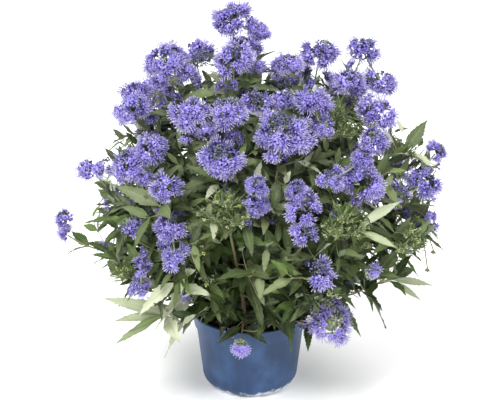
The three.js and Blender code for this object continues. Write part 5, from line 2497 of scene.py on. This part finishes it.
    @staticmethod
    def add_core(piece: Gathered, seat: Seat, radius: float, tone: float) -> None:
        """Adds the small core that the cymes' stalks come from; unless the head is young it is near black,
        painted shade in the head's middle.

        Args:
            piece: what the core is added to.
            seat: the place and the way of the core.
            radius: the radius of the core.
            tone: the tone of the core.
        """
        rows = [ring(math.sin(b), math.cos(b), 10) for b in np.linspace(0.02, math.pi - 0.02, 7)]
        points = seat.moved(np.vstack(rows) * radius * vec(1, 1, 0.85))
        piece.add(points, ring_triangles(7, 10)[:, ::-1], Bloom.CALYX, tone)

    def add_closed_buds(
        self, piece: Gathered, seat: Seat, out: float, angles: tuple[float, float], paler: float, seed: int
    ) -> None:
        """Adds closed buds, dark with a painted highlight on their tips, of which the outermost are green.

        Args:
            piece: what they are added to.
            seat: where their group sits.
            out: how far from its middle they are.
            angles: the polar angles between which they are.
            paler: how much lighter they are than most, which also makes more of them green.
            seed: the number that names the draws.
        """
        area = 2 * math.pi * out**2 * (math.cos(angles[0]) - math.cos(angles[1]))
        count = max(6, round(area / (self.bud_spacing * seat.scale**2)))
        jitter = swings(4, range(count), seed, SEED_BUDS)
        ways = unit(sphere_spread(count, *angles) + 0.12 * jitter[:, :3])
        places = seat.moved(ways * (out * (1 + 0.14 * jitter[:, 3])[:, None]) * vec(1, 1, self.flatness))
        sizes = seat.scale * (1.35 + 0.3 * jitter[:, 1])
        parts = (places, seat.ways(ways), 3 * jitter[:, 0], sizes, 0.2 * jitter[:, 2] + paler)
        green = jitter[:, 3] > self.green_from - 3 * paler
        for some, form in zip((green, ~green), CLOSED_BUDS):
            piece.add_copies(form, *(part[some] for part in parts))


# The studio


LIGHTS = (
    ("key", (-0.7, -1.3, 2.0), 2.9, 22),
    ("side", (-1.7, -0.7, 0.45), 0.75, 30),
    ("fill", (1.4, -1.0, 1.9), 0.95, 40),
    ("rim", (0.3, 1.1, 2.3), 1.3, 34),
)


@dataclass
class Studio:
    """A pale floor, soft lights, and the camera at the photo's viewing angle."""

    elevation: float = 20.0
    distance: float = 1900.0
    aim_height: float = 294.5
    focal_pixels: float = 1286.0
    image_width: int = 500
    sensor_mm: float = 36.0
    floor_half: float = 40.0
    floor_roughness: float = 0.9
    floor_glow: float = 0.12
    surroundings: float = 0.4

    def build(self) -> None:
        """Makes the camera, the floor, the lights and the surroundings."""
        self.add_camera()
        self.add_floor()
        for light in LIGHTS:
            self.add_sun(*light)
        self.add_surroundings()
        bpy.context.scene.view_settings.view_transform = "Standard"

    def add_camera(self) -> None:
        """Makes the camera, level and looking down at the plant's middle."""
        angle = math.radians(self.elevation)
        out = self.distance * MM
        data = bpy.data.cameras.new("photo_view")
        data.sensor_width = self.sensor_mm
        data.lens = self.focal_pixels / self.image_width * self.sensor_mm
        camera = linked(bpy.data.objects.new("photo_view", data))
        camera.location = (0, -out * math.cos(angle), self.aim_height * MM + out * math.sin(angle))
        camera.rotation_euler = (math.pi / 2 - angle, 0, 0)
        bpy.context.scene.camera = camera

    def add_floor(self) -> None:
        """Makes the plain pale floor that the pot stands on, which glows faintly: glow that lightens the
        shadows cast on it.
        """
        mesh = bpy.data.meshes.new("floor")
        h = self.floor_half
        mesh.from_pydata([(-h, -h, 0), (h, -h, 0), (h, h, 0), (-h, h, 0)], [], [(0, 1, 2, 3)])
        look = {"Base Color": linear("#fbfbfb"), "Roughness": self.floor_roughness}
        # The floor's glow is light from a part that is no lamp: it lightens shadows on the floor and lights
        # the plant a little from below
        glow = {"Emission Color": linear("#ffffff"), "Emission Strength": self.floor_glow}
        mesh.materials.append(MaterialMaker("pale_floor").finished({**look, **glow}))
        linked(bpy.data.objects.new("floor", mesh))

    def add_surroundings(self) -> None:
        """Makes the surroundings, which are white to the camera and dimmer as a light."""
        world = bpy.data.worlds.new("studio")
        world.use_nodes = True
        tree = world.node_tree
        tree.nodes.clear()
        seen = add_node(tree, "ShaderNodeLightPath").outputs["Is Camera Ray"]
        soft, wall = (
            add_node(tree, "ShaderNodeBackground", inputs={"Color": linear("#ffffff"), "Strength": strength})
            for strength in (self.surroundings, 1.0)
        )
        inputs = {0: seen, 1: soft.outputs[0], 2: wall.outputs[0]}
        both = add_node(tree, "ShaderNodeMixShader", inputs=inputs)
        add_node(tree, "ShaderNodeOutputWorld", inputs={"Surface": both.outputs[0]})
        bpy.context.scene.world = world

    @staticmethod
    def add_sun(name: str, place: Triple, strength: float, softness: float) -> None:
        """Makes a large, far light, whose softness is its width in degrees.

        Args:
            name: the light's name.
            place: a point on the side that the light comes from.
            strength: how strong it is.
            softness: its width in degrees.
        """
        data = bpy.data.lights.new(name, "SUN")
        data.energy, data.angle = strength, math.radians(softness)
        light = linked(bpy.data.objects.new(name, data))
        light.rotation_euler = (-Vector(place)).to_track_quat("-Z", "Y").to_euler()


def report(piece: Piece) -> None:
    """Logs a piece that has been made."""
    log.info("%s: %d faces", piece.name, len(piece.data.polygons))


def main() -> None:
    """Builds the studio and the plant, piece by piece."""
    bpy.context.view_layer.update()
    Studio().build()
    pot = NurseryPot()
    report(pot.build())
    report(PottingSoil(pot).build())
    plans = (*STEMS, *back_stems())
    tiers = [tier for plan in plans for spray in plan.sprays for tier in spray.tiers]
    bare = next(stem_paths(plan)[0].fine_points(6.0) for plan in plans if plan.name == "front_middle")
    crown = Crown(tiers, pot, bare[(bare[:, 2] > 150) & (bare[:, 2] < 285)])
    tissues, blooms = ([look.make() for look in looks] for looks in (STEM_FINISHES, BLOOM_FINISHES))
    for s, plan in enumerate(plans):
        report(LeafyStem(plan, s, crown).build(tissues))
        paths = stem_paths(plan)
        for n, spray in enumerate(plan.sprays):
            head = FlowerHead(f"head_{plan.name}_{n + 1}", spray, SEED_HEADS * (s + 1) + 10 * n)
            path = next(path for path in paths if np.allclose(path.corners[3], spray_end(spray)[0]))
            report(head.build(path, crown, blooms))


if __name__ == "__main__":
    main()
